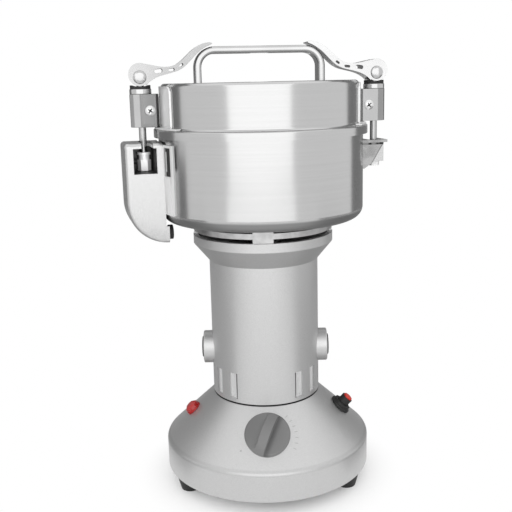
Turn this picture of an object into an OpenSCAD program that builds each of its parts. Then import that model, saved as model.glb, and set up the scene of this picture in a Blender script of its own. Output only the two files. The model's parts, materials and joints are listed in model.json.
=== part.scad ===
// Swing-type electric grinder for spices and herbs, in millimetres.
// Z is the motor axis and points up, the feet stand on z = 0, and the knob faces -Y.

/* [Base] */
// Height of the rubber feet, which is where the base shell begins
foot_h = 12; // [10:0.5:16]
// Radius of the circle that the three feet stand on
foot_circle_r = 76; // [74:0.5:76]
// Radius of a foot where it meets the base
foot_top_r = 11; // [9:0.5:11]
// Radius of a foot on the table
foot_bottom_r = 8; // [7.5:0.5:9]
// Outer radius of the base shell
base_r = 87.5; // [86.5:0.5:90]
// Height of the upright wall of the base
base_side_h = 23.4; // [20:0.5:25]
// Radius of the rounded shoulder of the base
base_shoulder_r = 4; // [2:0.5:8]
// Height of the top of the base above the table
base_top_z = 74.5; // [73:0.5:76]
// Wall thickness of the base shell
base_wall = 3; // [2.5:0.1:3.5]
// Thickness of the steel bottom plate
plate_t = 3; // [2:0.5:4]

/* [Controls] */
// Distance of the timer knob from the motor axis, along the cone
knob_r_on_cone = 64.3; // [63.5:0.1:67]
// Diameter of the timer knob
knob_d = 37; // [33:0.5:39]
// Thickness of the knob's disc
knob_disc_h = 5.5; // [4.5:0.5:7]
// Height of the knob's grip ridge above its disc
knob_ridge_h = 9; // [7:0.5:12]
// Thickness of the knob's grip ridge
knob_ridge_w = 8; // [7:0.5:10]
// Angle of the grip ridge from upright, clockwise from the front
knob_turn = 22; // [0:1:45]
// Diameter of the timer shaft
timer_shaft_d = 6; // [5:0.1:6.5]
// Angle of the lamp and the breaker from the front
control_az = 85; // [72:1:88]
// Distance of the lamp and the breaker from the motor axis, along the cone
control_r_on_cone = 63.7; // [62:0.1:65]
// Diameter of the lamp's lens
lamp_d = 13.5; // [12:0.5:15]
// Diameter of the breaker's round nut
breaker_nut_d = 18.5; // [16:0.5:20]
// Diameter of the reset button
reset_d = 8; // [6:0.1:8.4]
// How far the reset button is pressed
reset_travel = 2; // [1:0.5:3]
// Diameter of the mains cord that the gland takes
cord_d = 7; // [6:0.1:7.5]
// Height of the cord gland's axis
gland_z = 25; // [24:0.5:28]

/* [Column] */
// Outer radius of the motor column
column_r = 45.5; // [45:0.1:47]
// Wall thickness of the column
column_wall = 3; // [2.5:0.1:3.2]
// Thickness of the column's foot, where the vents are
foot_wall = 7; // [5:0.1:7.5]
// Depth of the shadow groove at the column's foot
groove_d = 0.8; // [0.5:0.1:1.2]
// Height of the shadow groove
groove_h = 1.5; // [1:0.1:2]
// Height of the column's flare, up to the top of the collar
flare_h = 22.7; // [21:0.1:25]
// Outer radius of the collar
collar_r = 58; // [57:0.5:60]
// Height of the collar's straight band
band_h = 7.6; // [6:0.2:9]
// Height of the top of the collar above the table
collar_top_z = 213.5; // [212.5:0.5:215]
// Width of a vent's recess
vent_w = 7.8; // [5:0.2:9]
// Height of a vent
vent_h = 22; // [16:1:22]
// Depth of the vents' recesses in the column's foot
vent_depth = 3; // [2:0.1:4]
// Width of the slit at the bottom of each recess
vent_slit_w = 3.2; // [2.5:0.1:4]
// Vents on each side
vent_count = 7; // [4:1:7]
// Angle of the first vent from the front
vent_first_az = 36.5; // [34:0.5:40]
// Height of the brush axis
brush_z = 112.4; // [112:0.2:115]
// Diameter of the brush bosses
boss_d = 27.8; // [25:0.2:28.6]
// Distance of the boss's end from the motor axis
boss_end_x = 52.8; // [51:0.2:57]

/* [Air ring and bowl] */
// Gap between the collar and the air ring
lower_air_gap = 3.2; // [2.8:0.1:4]
// Height of the air ring
air_ring_h = 4.5; // [4:0.1:5.5]
// Gap between the air ring and the bowl
upper_air_gap = 4.2; // [3.6:0.1:4.8]
// Radial thickness of the air ring
air_ring_t = 8; // [6:0.5:9]
// Width of a post of the air ring
post_w = 16; // [12:0.5:18]
// Outer radius of the bowl
bowl_r = 83; // [82:0.1:83.5]
// Wall thickness of the bowl
bowl_wall = 1.5; // [1:0.1:1.8]
// Height of the bowl from its floor to its rim
bowl_h = 69.5; // [68.5:0.5:70]
// Outer radius of the bowl's lower corner
bowl_corner_r = 9.5; // [8:0.5:11]

/* [Lid] */
// Outer radius of the lid's wall
lid_r = 79.5; // [79:0.1:80]
// Sheet thickness of the lid
lid_wall = 1.5; // [1:0.1:1.8]
// Outer radius of the lid's rim
rim_r = 86.5; // [86.4:0.1:87.5]
// Height of the lid's rim
rim_h = 6.5; // [6:0.1:7]
// Height of the lid above its rim
lid_h = 35; // [32:0.5:36]
// Radius of the lid's top edge
lid_edge_r = 3; // [1.5:0.5:5]
// Overall width of the handle
handle_w = 105.2; // [100:0.2:108]
// Height of the handle above the lid
handle_h = 27.9; // [25:0.1:29]
// Thickness of the handle strap
handle_t = 5.6; // [4:0.1:6]
// Breadth of the handle strap
handle_depth = 16; // [12:0.5:18]
// Outer radius of the handle's bends
handle_bend_r = 16.5; // [14:0.5:18]

/* [Clamps] */
// Angle of the clamps from the X axis
clamp_yaw = 9; // [6:0.5:10]
// Angle of the hooks on the bowl from the X axis
hook_yaw = 15; // [15:0.5:16]
// Distance of the clamp rods from the bowl's wall
rod_offset = 12.3; // [12:0.1:13]
// Diameter of the clamp rods
rod_d = 5.8; // [5:0.1:6]
// Width of a swing block
block_w = 17.6; // [16:0.2:19]
// Height of a swing block
block_h = 25.7; // [22:0.1:27]
// Height of the underside of the swing blocks above the lid's rim
block_lift = 1.7; // [1.5:0.1:3]
// Diameter of the cam discs
cam_d = 17.6; // [17:0.1:18]
// Distance from a cam disc's centre to its pin
cam_offset = 2.1; // [1.8:0.1:2.2]
// Diameter of the barrel pins
pin_d = 10; // [9:0.1:10]
// Width of a cam lever
lever_w = 17; // [15:0.5:18]
// How far a cam lever swings open, in degrees
lever_swing = 165; // [150:1:165]
// How far the lid turns, in degrees
lid_swing = 20; // [18:1:22]

/* [Hooks and switch housing] */
// Sheet thickness of the hooks' saddles
saddle_t = 1.5; // [1:0.1:2]
// Thickness of a hook plate
hook_t = 2.2; // [2:0.1:2.5]
// Width of the slot in a hook plate
hook_slot_w = 9.2; // [8:0.1:9.5]
// Reach of the switch housing beyond the rod's axis
housing_reach = 17.8; // [17:0.1:19]
// Depth of the switch housing's top below the bowl's rim
housing_drop = 3.9; // [3.4:0.1:4.9]
// Depth of the switch housing from its top to its lowest edge
housing_h = 79.5; // [76:0.5:80]
// Radius of the switch housing's large lower curve
housing_curve_r = 32; // [28:0.5:34]
// Wall thickness of the switch housing
housing_wall = 2; // [1.5:0.1:2.2]

/* [Motor and blades] */
// Diameter of the motor shaft
shaft_d = 8; // [7:0.1:8]
// Outer diameter of the ball bearings
bearing_d = 22; // [21:0.5:23]
// Height of a ball bearing
bearing_h = 7; // [6:0.5:7]
// Radius of the armature
armature_r = 23; // [20:0.5:23]
// Depth of the top of the motor's iron stack below the top of the collar
stack_drop = 47.5; // [46:0.5:50]
// Radius of the commutator
commutator_r = 14; // [13:0.5:14]
// Blades of the cooling fan
fan_blades = 11; // [7:1:13]
// Tip radius of the lower blade
lower_blade_r = 74; // [68:1:75]
// Tip radius of the upper blade
upper_blade_r = 58; // [50:1:62]
// Thickness of the blades
blade_t = 2.5; // [2:0.1:3]

/* [Clearances] */
// Gap between pieces that move past each other
run_gap = 0.3; // [0.3:0.05:0.5]
// Radial clearance of a turning or sliding fit
fit_gap = 0.08; // [0.05:0.01:0.1]
// Radial clearance of pieces that are pressed or screwed together
press_gap = 0.02; // [0.01:0.01:0.05]

/* [Hidden] */
$fn = 96;

// Heights that follow from the driving sizes
cone_foot_z = foot_h + base_side_h;
cone_rise = (base_top_z - cone_foot_z) / (base_r - column_r);
cone_angle = atan(cone_rise);
cone_wall_drop = base_wall / cos(cone_angle);
flare_z = collar_top_z - flare_h;
air_ring_z = collar_top_z + lower_air_gap;
bowl_z = air_ring_z + air_ring_h + upper_air_gap;
bowl_rim_z = bowl_z + bowl_h;
seal_h = 2;
rim_drop = 1.2;
rim_z = bowl_rim_z - rim_drop;
rim_top_z = rim_z + rim_h;
lid_top_z = rim_top_z + lid_h;
handle_top_z = lid_top_z + handle_h;
bowl_in_r = bowl_r - bowl_wall;
bowl_floor_z = bowl_z + bowl_wall;
clamp_r = bowl_r + rod_offset;
housing_top_z = bowl_rim_z - housing_drop;

// Clamp heights, from the block upwards and from the hooks downwards
block_z = rim_top_z + block_lift;
block_top_z = block_z + block_h;
ring_h = 4;
seat_h = 2.9;
seat_depth = 1.2;
seat_gap = 0.5;
seat_groove_r = 16;
ring_top_z = block_top_z + ring_h;
cam_z = ring_top_z + seat_h - seat_depth + seat_gap + cam_d / 2;
pin_z = cam_z - cam_offset;
// A round eccentric lifts fastest at 133.6 degrees; this constant rate keeps it clear of its seat
lift_per_degree = cam_offset * 0.7246 * PI / 180;
rod_lift = lift_per_degree * lever_swing;
left_hook_z = housing_top_z - housing_wall - hook_t;
right_hook_z = rim_z - 9.8;
nut_head_h = 2;
nut_h = 14.6;
nut_d = 10.6;
hook_gap = 0.35;

// Where the rods hang, seen from the hooks
rod_lag = hook_yaw - clamp_yaw;
rod_u = clamp_r * cos(rod_lag);
rod_v = clamp_r * sin(rod_lag);
housing_u = rod_u + housing_reach;
housing_v_front = -16.5;
pocket_gap = 0.6;
pocket_v_rear = rod_v + nut_d / 2 + pocket_gap;
housing_v_rear = pocket_v_rear + housing_wall;
pocket_u_in = rod_u - nut_d / 2 - 1.7;
pocket_u_out = housing_u - 6.6;
pocket_z = left_hook_z - hook_gap - rod_lift - nut_h - hook_gap;
saddle_r = bowl_r + saddle_t;
saddle_half_angle = 21;

// Motor heights
lower_bearing_z = brush_z - 27;
commutator_z = brush_z - 10;
stack_z = brush_z + 18;
stack_h = collar_top_z - stack_drop - stack_z;
fan_z = collar_top_z - stack_drop + 10;
upper_bearing_z = collar_top_z - 7.5;
shaft_bottom_z = lower_bearing_z - 5;
blade_z = bowl_floor_z + 12;
spacer_h = 10;
upper_blade_z = blade_z + blade_t + spacer_h;
shaft_top_z = upper_blade_z + blade_t + 9;
shaft_r = shaft_d / 2;
blade_seat_r = 8;
blade_screw_r = 3;
hub_r = bearing_d / 2 + 4;

function arc(cx, cz, r, a0, a1, n) =
  [for (i = [0:n]) [cx + r * cos(a0 + (a1 - a0) * i / n), cz + r * sin(a0 + (a1 - a0) * i / n)]];
function cone_z(r) = base_top_z - (r - column_r) * cone_rise;
function bezier(p, t) =
  p[0] * pow(1 - t, 3) + p[1] * 3 * t * pow(1 - t, 2) + p[2] * 3 * t * t * (1 - t) + p[3] * pow(t, 3);
function curve(p, n) = [for (i = [0:n]) bezier(p, i / n)];

// Puts +Z along the outward normal of the base's cone
module on_cone(az, r) {
  rotate([0, 0, az]) translate([0, -r, cone_z(r)]) rotate([cone_angle, 0, 0]) children();
}

// Right side as drawn, left side mirrored: +X points outwards and -Y to the front
module on_side(side, yaw) {
  if (side > 0) rotate([0, 0, yaw]) children();
  else rotate([0, 0, yaw]) mirror([1, 0, 0]) children();
}

module both_sides(yaw) {
  on_side(1, yaw) children();
  on_side(-1, yaw) children();
}

// Band around the axis, half_angle to each side of +X
module sector_band(r_in, r_out, z0, z1, half_angle) {
  rotate([0, 0, -half_angle])
    rotate_extrude(angle = 2 * half_angle)
      translate([r_in, z0]) square([r_out - r_in, z1 - z0]);
}

module ring(r_in, r_out, z0, z1) {
  translate([0, 0, z0]) difference() {
    cylinder(r = r_out, h = z1 - z0);
    translate([0, 0, -1]) cylinder(r = r_in, h = z1 - z0 + 2);
  }
}

// Takes the corner off an upright plate whose edges lie at s * half_w and at the height top
module corner_cut(s, half_w, top, r) {
  translate([lid_r * 0.6, s * (half_w - r), top - r]) rotate([90, 0, 90])
    linear_extrude(lid_r) difference() {
      translate([s > 0 ? 0 : -r - 1, 0]) square(r + 1);
      circle(r = r, $fn = 32);
    }
}

module stadium(length, width) {
  square([length - width, width], center = true);
  for (s = [-1, 1]) translate([s * (length - width) / 2, 0]) circle(d = width, $fn = 32);
}

module rounded_rect(w, h, r) {
  square([w - 2 * r, h], center = true);
  square([w, h - 2 * r], center = true);
  for (x = [-1, 1], y = [-1, 1]) translate([x * (w / 2 - r), y * (h / 2 - r)]) circle(r = r, $fn = 32);
}

// Base

foot_angles = [210, 330, 90];
foot_screw_r = 1.7;
foot_recess_d = 7;
foot_recess_h = 6;
foot_boss_r = 5;
foot_screw_h = 24;

module at_feet() {
  for (a = foot_angles) rotate([0, 0, a]) translate([foot_circle_r, 0, 0]) children();
}

module base_outline() {
  corner = base_shoulder_r * tan((90 - cone_angle) / 2);
  polygon(concat(
    [[0, foot_h], [base_r, foot_h]],
    arc(base_r - base_shoulder_r, cone_foot_z - corner, base_shoulder_r, 0, 90 - cone_angle, 8),
    [[column_r, base_top_z], [0, base_top_z]]));
}

neck_r = column_r - 8;

module base_shell() {
  in_r = base_r - base_wall;
  color([0.72, 0.73, 0.74]) difference() {
    union() {
      difference() {
        rotate_extrude($fn = 128) base_outline();
        rotate_extrude($fn = 128) polygon([
          [0, foot_h - 1], [in_r, foot_h - 1], [in_r, cone_z(in_r) - cone_wall_drop],
          [column_r, base_top_z - cone_wall_drop], [0, base_top_z - cone_wall_drop]]);
      }
      intersection() {
        rotate_extrude($fn = 128) base_outline();
        at_feet() translate([0, 0, foot_h + plate_t]) cylinder(r = foot_boss_r, h = base_top_z, $fn = 32);
      }
    }
    translate([0, 0, base_top_z - cone_wall_drop - 1]) cylinder(r = neck_r, h = cone_wall_drop + 2);
    at_feet() translate([0, 0, foot_h]) cylinder(r = foot_screw_r + press_gap, h = foot_screw_h, $fn = 32);
    on_cone(0, knob_r_on_cone) cylinder(r = timer_neck_r + fit_gap, h = 40, center = true, $fn = 48);
    on_cone(-control_az, control_r_on_cone)
      cylinder(r = lamp_stem_r + fit_gap, h = 40, center = true, $fn = 48);
    on_cone(control_az, control_r_on_cone)
      cylinder(r = breaker_neck_r + fit_gap, h = 40, center = true, $fn = 48);
    translate([0, base_r, gland_z]) rotate([90, 0, 0])
      cylinder(r = gland_neck_r + press_gap, h = 4 * base_wall, center = true, $fn = 48);
  }
}

module bottom_plate() {
  color([0.55, 0.56, 0.58]) difference() {
    translate([0, 0, foot_h]) cylinder(r = base_r - base_wall - run_gap, h = plate_t, $fn = 128);
    at_feet() translate([0, 0, foot_h - 1])
      cylinder(r = foot_screw_r + press_gap, h = plate_t + 2, $fn = 32);
  }
}

module rubber_feet() {
  edge = 1;
  color([0.06, 0.06, 0.065]) at_feet() difference() {
    rotate_extrude($fn = 48) polygon(concat(
      [[0, 0]], arc(foot_bottom_r - edge, edge, edge, -90, 0, 4), [[foot_top_r, foot_h], [0, foot_h]]));
    translate([0, 0, -1]) cylinder(d = foot_recess_d, h = foot_recess_h + 1, $fn = 32);
    cylinder(r = foot_screw_r + press_gap, h = foot_h + 1, $fn = 32);
  }
}

module foot_screws() {
  head_h = 2.4;
  color([0.7, 0.7, 0.72]) at_feet() {
    difference() {
      translate([0, 0, foot_recess_h - head_h]) cylinder(d = foot_recess_d - 0.6, h = head_h, $fn = 32);
      translate([0, 0, foot_recess_h - head_h - 0.1]) cross_recess(4, 1.2);
    }
    translate([0, 0, foot_recess_h])
      cylinder(r = foot_screw_r, h = foot_h + foot_screw_h - foot_recess_h - 1, $fn = 32);
  }
}

module cross_recess(span, depth) {
  for (a = [0, 90]) rotate([0, 0, a]) translate([0, 0, depth / 2]) cube([span, 0.9, depth], center = true);
}

// Timer, lamp and breaker, drawn with +Z along the cone's outward normal

timer_neck_r = 5;
timer_box = 36;
timer_box_h = 22;
timer_box_top = -5.4;
timer_neck_top = 0.4;
knob_gap = 0.9;
knob_stem_h = 11;

module timer_body() {
  color([0.85, 0.84, 0.8]) on_cone(0, knob_r_on_cone) difference() {
    union() {
      translate([-timer_box / 2, -timer_box / 2, timer_box_top - timer_box_h])
        cube([timer_box, timer_box, timer_box_h]);
      translate([0, 0, timer_box_top])
        cylinder(r = timer_neck_r + 3, h = -base_wall - 2 * run_gap - timer_box_top);
      translate([0, 0, timer_box_top]) cylinder(r = timer_neck_r, h = timer_neck_top - timer_box_top);
    }
    translate([0, 0, timer_box_top - 8]) cylinder(d = timer_shaft_d + 2 * fit_gap, h = 30, $fn = 48);
  }
}

module timer_shaft() {
  color([0.75, 0.75, 0.76]) on_cone(0, knob_r_on_cone)
    translate([0, 0, timer_box_top - 7])
      cylinder(d = timer_shaft_d, h = 7 - timer_box_top + knob_gap + knob_stem_h, $fn = 48);
}

module timer_knob() {
  ridge_top = knob_gap + knob_disc_h + knob_ridge_h;
  r = knob_d / 2;
  scoop_r = 5;
  color([0.45, 0.45, 0.46]) on_cone(0, knob_r_on_cone) rotate([0, 0, -knob_turn]) difference() {
    rotate_extrude($fn = 96) polygon(concat(
      [[0, knob_gap], [r - 0.8, knob_gap]],
      arc(r - 1.5, knob_gap + knob_disc_h - 1.5, 1.5, 0, 50, 5),
      arc(0, -r * 1.3 + ridge_top, r * 1.3, 50, 90, 12)));
    for (s = [-1, 1]) hull() {
      translate([s * (knob_ridge_w / 2 + scoop_r), 0, knob_gap + knob_disc_h + scoop_r])
        rotate([90, 0, 0]) cylinder(r = scoop_r, h = knob_d + 2, center = true, $fn = 32);
      translate([s * (r + 2 * scoop_r), 0, knob_gap + knob_disc_h + scoop_r + 1])
        rotate([90, 0, 0]) cylinder(r = scoop_r, h = knob_d + 2, center = true, $fn = 32);
      translate([s * (knob_ridge_w / 2 + scoop_r), 0, ridge_top + 2 * scoop_r])
        rotate([90, 0, 0]) cylinder(r = scoop_r - 0.8, h = knob_d + 2, center = true, $fn = 32);
    }
    translate([0, 0, knob_gap - 1])
      cylinder(d = timer_shaft_d + 2 * press_gap, h = knob_stem_h + 1, $fn = 48);
  }
}

lamp_stem_r = 4.9;

module indicator_lamp() {
  color([0.75, 0.05, 0.05]) on_cone(-control_az, control_r_on_cone) {
    cylinder(d = lamp_d, h = 1.6, $fn = 48);
    translate([0, 0, -14]) cylinder(r = lamp_stem_r, h = 14, $fn = 48);
    translate([0, 0, 1.6]) cylinder(d1 = lamp_d - 1, d2 = lamp_d - 1.6, h = 2.4, $fn = 10);
    translate([0, 0, 4]) cylinder(d1 = lamp_d - 1.6, d2 = lamp_d - 6, h = 1.8, $fn = 10);
  }
}

breaker_neck_r = 5;
breaker_stem_r = 5;
breaker_nut_h = 4.5;
breaker_stem_top = 10.4;
reset_top = 11.9;
reset_floor = 3;

module breaker_nut() {
  lower_h = 2.2;
  color([0.05, 0.05, 0.055]) on_cone(control_az, control_r_on_cone) difference() {
    union() {
      cylinder(d = breaker_nut_d, h = lower_h, $fn = 64);
      translate([0, 0, lower_h]) cylinder(d = breaker_nut_d - 2.6, h = breaker_nut_h - lower_h, $fn = 12);
    }
    translate([0, 0, -1]) cylinder(r = breaker_neck_r + press_gap, h = breaker_nut_h + 2, $fn = 48);
  }
}

module breaker_body() {
  box_top = -5.2;
  color([0.08, 0.08, 0.085]) on_cone(control_az, control_r_on_cone) difference() {
    union() {
      translate([-8, -13, box_top - 20]) cube([16, 26, 20]);
      translate([0, 0, box_top]) cylinder(r = breaker_neck_r, h = breaker_nut_h - box_top, $fn = 48);
      translate([0, 0, breaker_nut_h])
        cylinder(r = breaker_stem_r, h = breaker_stem_top - breaker_nut_h, $fn = 48);
    }
    translate([0, 0, reset_floor - reset_travel - run_gap])
      cylinder(d = reset_d + 2 * fit_gap, h = 30, $fn = 48);
  }
}

module reset_button() {
  color([0.8, 0.1, 0.07]) on_cone(control_az, control_r_on_cone) rotate_extrude($fn = 48)
    polygon(concat([[0, reset_floor]], [[reset_d / 2, reset_floor]],
      arc(reset_d / 2 - 0.8, reset_top - 0.8, 0.8, 0, 90, 4), [[0, reset_top]]));
}

gland_neck_r = 6.2;
gland_neck_l = 4.8;

module cord_gland() {
  flange_t = 3;
  nose = 6.5;
  color([0.06, 0.06, 0.065]) translate([0, base_r, gland_z]) rotate([-90, 0, 0]) difference() {
    union() {
      cylinder(r = gland_neck_r + 2.8, h = flange_t, $fn = 48);
      translate([0, 0, -gland_neck_l]) cylinder(r = gland_neck_r, h = gland_neck_l, $fn = 48);
      translate([0, 0, flange_t]) cylinder(r1 = gland_neck_r, r2 = cord_d / 2 + 1.4, h = nose, $fn = 48);
    }
    translate([0, 0, -gland_neck_l - 1])
      cylinder(d = cord_d, h = gland_neck_l + flange_t + nose + 2, $fn = 48);
  }
}

// Column

column_in_r = column_r - column_wall;
foot_in_r = column_r - foot_wall;
vent_z = base_top_z + groove_h + 3;
foot_shelf_z = vent_z + vent_h + 1.2;
collar_in_r = collar_r - 3.5;
collar_edge = 0.6;

module column_outline() {
  flare_top = collar_top_z - band_h;
  polygon(concat(
    [[neck_r, base_top_z], [column_r - groove_d, base_top_z], [column_r - groove_d, base_top_z + groove_h],
     [column_r, base_top_z + groove_h], [column_r, flare_z], [collar_r - 0.8, flare_top - 1],
     [collar_r, flare_top]],
    arc(collar_r - collar_edge, collar_top_z - collar_edge, collar_edge, 0, 90, 4),
    [[collar_in_r, collar_top_z], [collar_in_r, flare_top + 1], [column_in_r, flare_z - 3],
     [column_in_r, foot_shelf_z], [foot_in_r, foot_shelf_z],
     [foot_in_r, base_top_z + column_wall], [neck_r, base_top_z + column_wall]]));
}

module column_housing() {
  vent_pitch = (180 - vent_first_az) / (vent_count - 0.5);
  boss_r = boss_d / 2;
  boss_edge = 1;
  color([0.74, 0.75, 0.76]) difference() {
    union() {
      difference() {
        rotate_extrude($fn = 128) column_outline();
        for (side = [-1, 1], i = [0:vent_count - 1])
          rotate([0, 0, side * (vent_first_az + i * vent_pitch) - 90]) {
            translate([column_r - vent_depth, -vent_w / 2, vent_z]) cube([foot_wall, vent_w, vent_h]);
            translate([foot_in_r - 2, side > 0 ? -vent_w / 2 : vent_w / 2 - vent_slit_w, vent_z])
              cube([foot_wall, vent_slit_w, vent_h]);
          }
      }
      for (s = [0, 180]) rotate([0, 0, s]) translate([column_in_r, 0, brush_z]) rotate([0, 90, 0])
        rotate_extrude($fn = 64) polygon(concat([[0, 0], [boss_r, 0]],
          arc(boss_r - boss_edge, boss_end_x - column_in_r - boss_edge, boss_edge, 0, 90, 6),
          [[0, boss_end_x - column_in_r]]));
    }
    translate([0, 0, foot_shelf_z]) cylinder(r = column_in_r, h = flare_z - 3 - foot_shelf_z);
    translate([0, 0, brush_z]) rotate([0, 90, 0]) {
      cylinder(r = holder_r + press_gap, h = 3 * column_r, center = true, $fn = 48);
      for (s = [0, 180]) rotate([0, s, 0]) translate([0, 0, cap_seat_x])
        cylinder(r = cap_r + press_gap, h = 10, $fn = 48);
    }
  }
}

holder_r = 7.2;
cap_r = 8.8;
cap_h = 3;
cap_stand = 1.3;
cap_seat_x = boss_end_x + cap_stand - cap_h;
brush_w = 6.4;
brush_l = 10;

module at_brushes() {
  for (s = [0, 180]) rotate([0, 0, s]) translate([0, 0, brush_z]) rotate([0, 90, 0]) children();
}

module brush_caps() {
  color([0.12, 0.12, 0.13]) at_brushes() translate([0, 0, cap_seat_x]) difference() {
    cylinder(r = cap_r, h = cap_h, $fn = 48);
    translate([0, 0, cap_h - 0.6]) cube([14, 2, 2.4], center = true);
  }
}

module brush_holders() {
  color([0.72, 0.58, 0.28]) at_brushes() difference() {
    translate([0, 0, commutator_r + 6])
      cylinder(r = holder_r, h = cap_seat_x - commutator_r - 6, $fn = 48);
    cube([brush_l + 0.4, brush_w + 0.4, 4 * column_r], center = true);
  }
}

module carbon_brushes() {
  color([0.15, 0.15, 0.16]) at_brushes() translate([-brush_l / 2, -brush_w / 2, commutator_r + run_gap])
    cube([brush_l, brush_w, 18]);
}

module bracket_arms(count, r_in, r_out, w, z0, z1) {
  for (i = [0:count - 1]) rotate([0, 0, i * 360 / count])
    translate([r_in, -w / 2, z0]) cube([r_out - r_in, w, z1 - z0]);
}

module lower_bearing_bracket() {
  z0 = lower_bearing_z - 3;
  rim = column_in_r - press_gap;
  riser_r = foot_in_r - 1.5;
  flange_h = 2.4;
  color([0.66, 0.67, 0.68]) difference() {
    union() {
      translate([0, 0, z0]) cylinder(r = hub_r, h = bearing_h + 4);
      rotate([0, 0, 45]) bracket_arms(4, hub_r - 1, riser_r, 9, z0, z0 + 5);
      rotate([0, 0, 45]) bracket_arms(4, riser_r - 5, riser_r, 9, z0, foot_shelf_z + flange_h);
      ring(riser_r - 3, rim, foot_shelf_z, foot_shelf_z + flange_h);
    }
    translate([0, 0, lower_bearing_z]) cylinder(d = bearing_d + 2 * press_gap, h = 20);
    translate([0, 0, z0 - 1]) cylinder(r = shaft_r + 2, h = 10);
  }
}

module ball_bearing(z) {
  color([0.8, 0.8, 0.82]) translate([0, 0, z]) difference() {
    cylinder(d = bearing_d, h = bearing_h);
    translate([0, 0, -1]) cylinder(r = shaft_r + fit_gap, h = bearing_h + 2, $fn = 64);
    translate([0, 0, bearing_h - 0.5]) difference() {
      cylinder(r = bearing_d / 2 - 2, h = 1);
      cylinder(r = shaft_r + 2, h = 1);
    }
  }
}

module lower_bearing() {
  ball_bearing(lower_bearing_z);
}

module upper_bearing() {
  ball_bearing(upper_bearing_z);
}

// Two-pole field: the windows beside each pole hold the coils
stator_bore_r = armature_r + 0.8;
coil_r_in = armature_r + 4;
coil_r_out = coil_r_in + 9;
coil_az = 52;
coil_half = 11;

module stator_core() {
  color([0.5, 0.5, 0.52]) translate([0, 0, stack_z]) linear_extrude(stack_h) difference() {
    circle(r = column_in_r - press_gap);
    circle(r = stator_bore_r);
    for (a = [0, 180], s = [-1, 1]) rotate(a + s * coil_az) coil_window(run_gap);
  }
}

module coil_window(gap) {
  difference() {
    intersection() {
      circle(r = coil_r_out + gap);
      polygon([[0, 0], [60, -60 * tan(coil_half) - 2 * gap], [60, 60 * tan(coil_half) + 2 * gap]]);
    }
    circle(r = coil_r_in - gap);
  }
}

module field_coils() {
  end_h = 8;
  bulge = 0.6;
  color([0.62, 0.3, 0.12]) for (a = [90, 270]) rotate([0, 0, a]) {
    for (s = [-1, 1]) rotate([0, 0, s * (90 - coil_az)])
      translate([0, 0, stack_z - 1]) linear_extrude(stack_h + 2) coil_window(0);
    for (z = [stack_z - end_h, stack_z + stack_h])
      sector_band(coil_r_in - bulge, coil_r_out + bulge, z, z + end_h, 92 - coil_az + coil_half);
  }
}

// Rotor

module motor_shaft() {
  color([0.7, 0.71, 0.72]) rotate_extrude($fn = 64) polygon([
    [0, shaft_bottom_z], [shaft_r - 0.5, shaft_bottom_z], [shaft_r, shaft_bottom_z + 0.5],
    [shaft_r, blade_z - 5], [blade_seat_r, blade_z - 5], [blade_seat_r, blade_z],
    [blade_screw_r, blade_z], [blade_screw_r, shaft_top_z - 0.5], [blade_screw_r - 0.5, shaft_top_z],
    [0, shaft_top_z]]);
}

module commutator() {
  bars = 20;
  color([0.75, 0.45, 0.22]) difference() {
    ring(shaft_r + press_gap, commutator_r, commutator_z, commutator_z + 20);
    for (i = [0:bars - 1]) rotate([0, 0, i * 360 / bars])
      translate([commutator_r - 1, -0.3, commutator_z - 1]) cube([2, 0.6, 18]);
  }
}

armature_slots = 12;
slot_circle_r = armature_r - 6;
slot_r = 3;

module armature_core() {
  color([0.45, 0.45, 0.47]) translate([0, 0, stack_z]) linear_extrude(stack_h) difference() {
    circle(r = armature_r);
    circle(r = shaft_r + press_gap, $fn = 64);
    for (i = [0:armature_slots - 1]) rotate(i * 360 / armature_slots) {
      translate([slot_circle_r, 0]) circle(r = slot_r, $fn = 24);
      translate([slot_circle_r, -0.8]) square([10, 1.6]);
    }
  }
}

module armature_windings() {
  end_h = 8;
  color([0.66, 0.32, 0.12]) {
    for (i = [0:armature_slots - 1]) rotate([0, 0, i * 360 / armature_slots])
      translate([slot_circle_r, 0, stack_z]) cylinder(r = slot_r - 0.2, h = stack_h, $fn = 24);
    for (z = [stack_z - end_h, stack_z + stack_h]) translate([0, 0, z])
      rotate_extrude() polygon([
        [shaft_r + 2, 0], [slot_circle_r + slot_r - 1, 0], [slot_circle_r + slot_r, 1],
        [slot_circle_r + slot_r, end_h - 1], [slot_circle_r + slot_r - 1, end_h], [shaft_r + 2, end_h]]);
  }
}

fan_r = column_in_r - 4;
fan_h = 10;

module cooling_fan() {
  hub = 9;
  color([0.2, 0.2, 0.21]) difference() {
    union() {
      translate([0, 0, fan_z]) cylinder(r = fan_r, h = 1.6);
      translate([0, 0, fan_z]) cylinder(r = hub, h = fan_h);
      for (i = [0:fan_blades - 1]) rotate([0, 0, i * 360 / fan_blades])
        translate([hub - 1, 0, fan_z]) rotate([0, 0, 20]) cube([fan_r - hub - 3, 1.4, fan_h]);
    }
    translate([0, 0, fan_z - 1]) cylinder(r = shaft_r + press_gap, h = fan_h + 2, $fn = 64);
  }
}

// Air ring between collar and bowl, with the upper bearing in its hub

bowl_screw_circle_r = 50;
bowl_screw_r = 2;
bowl_screw_l = 14;

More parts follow.
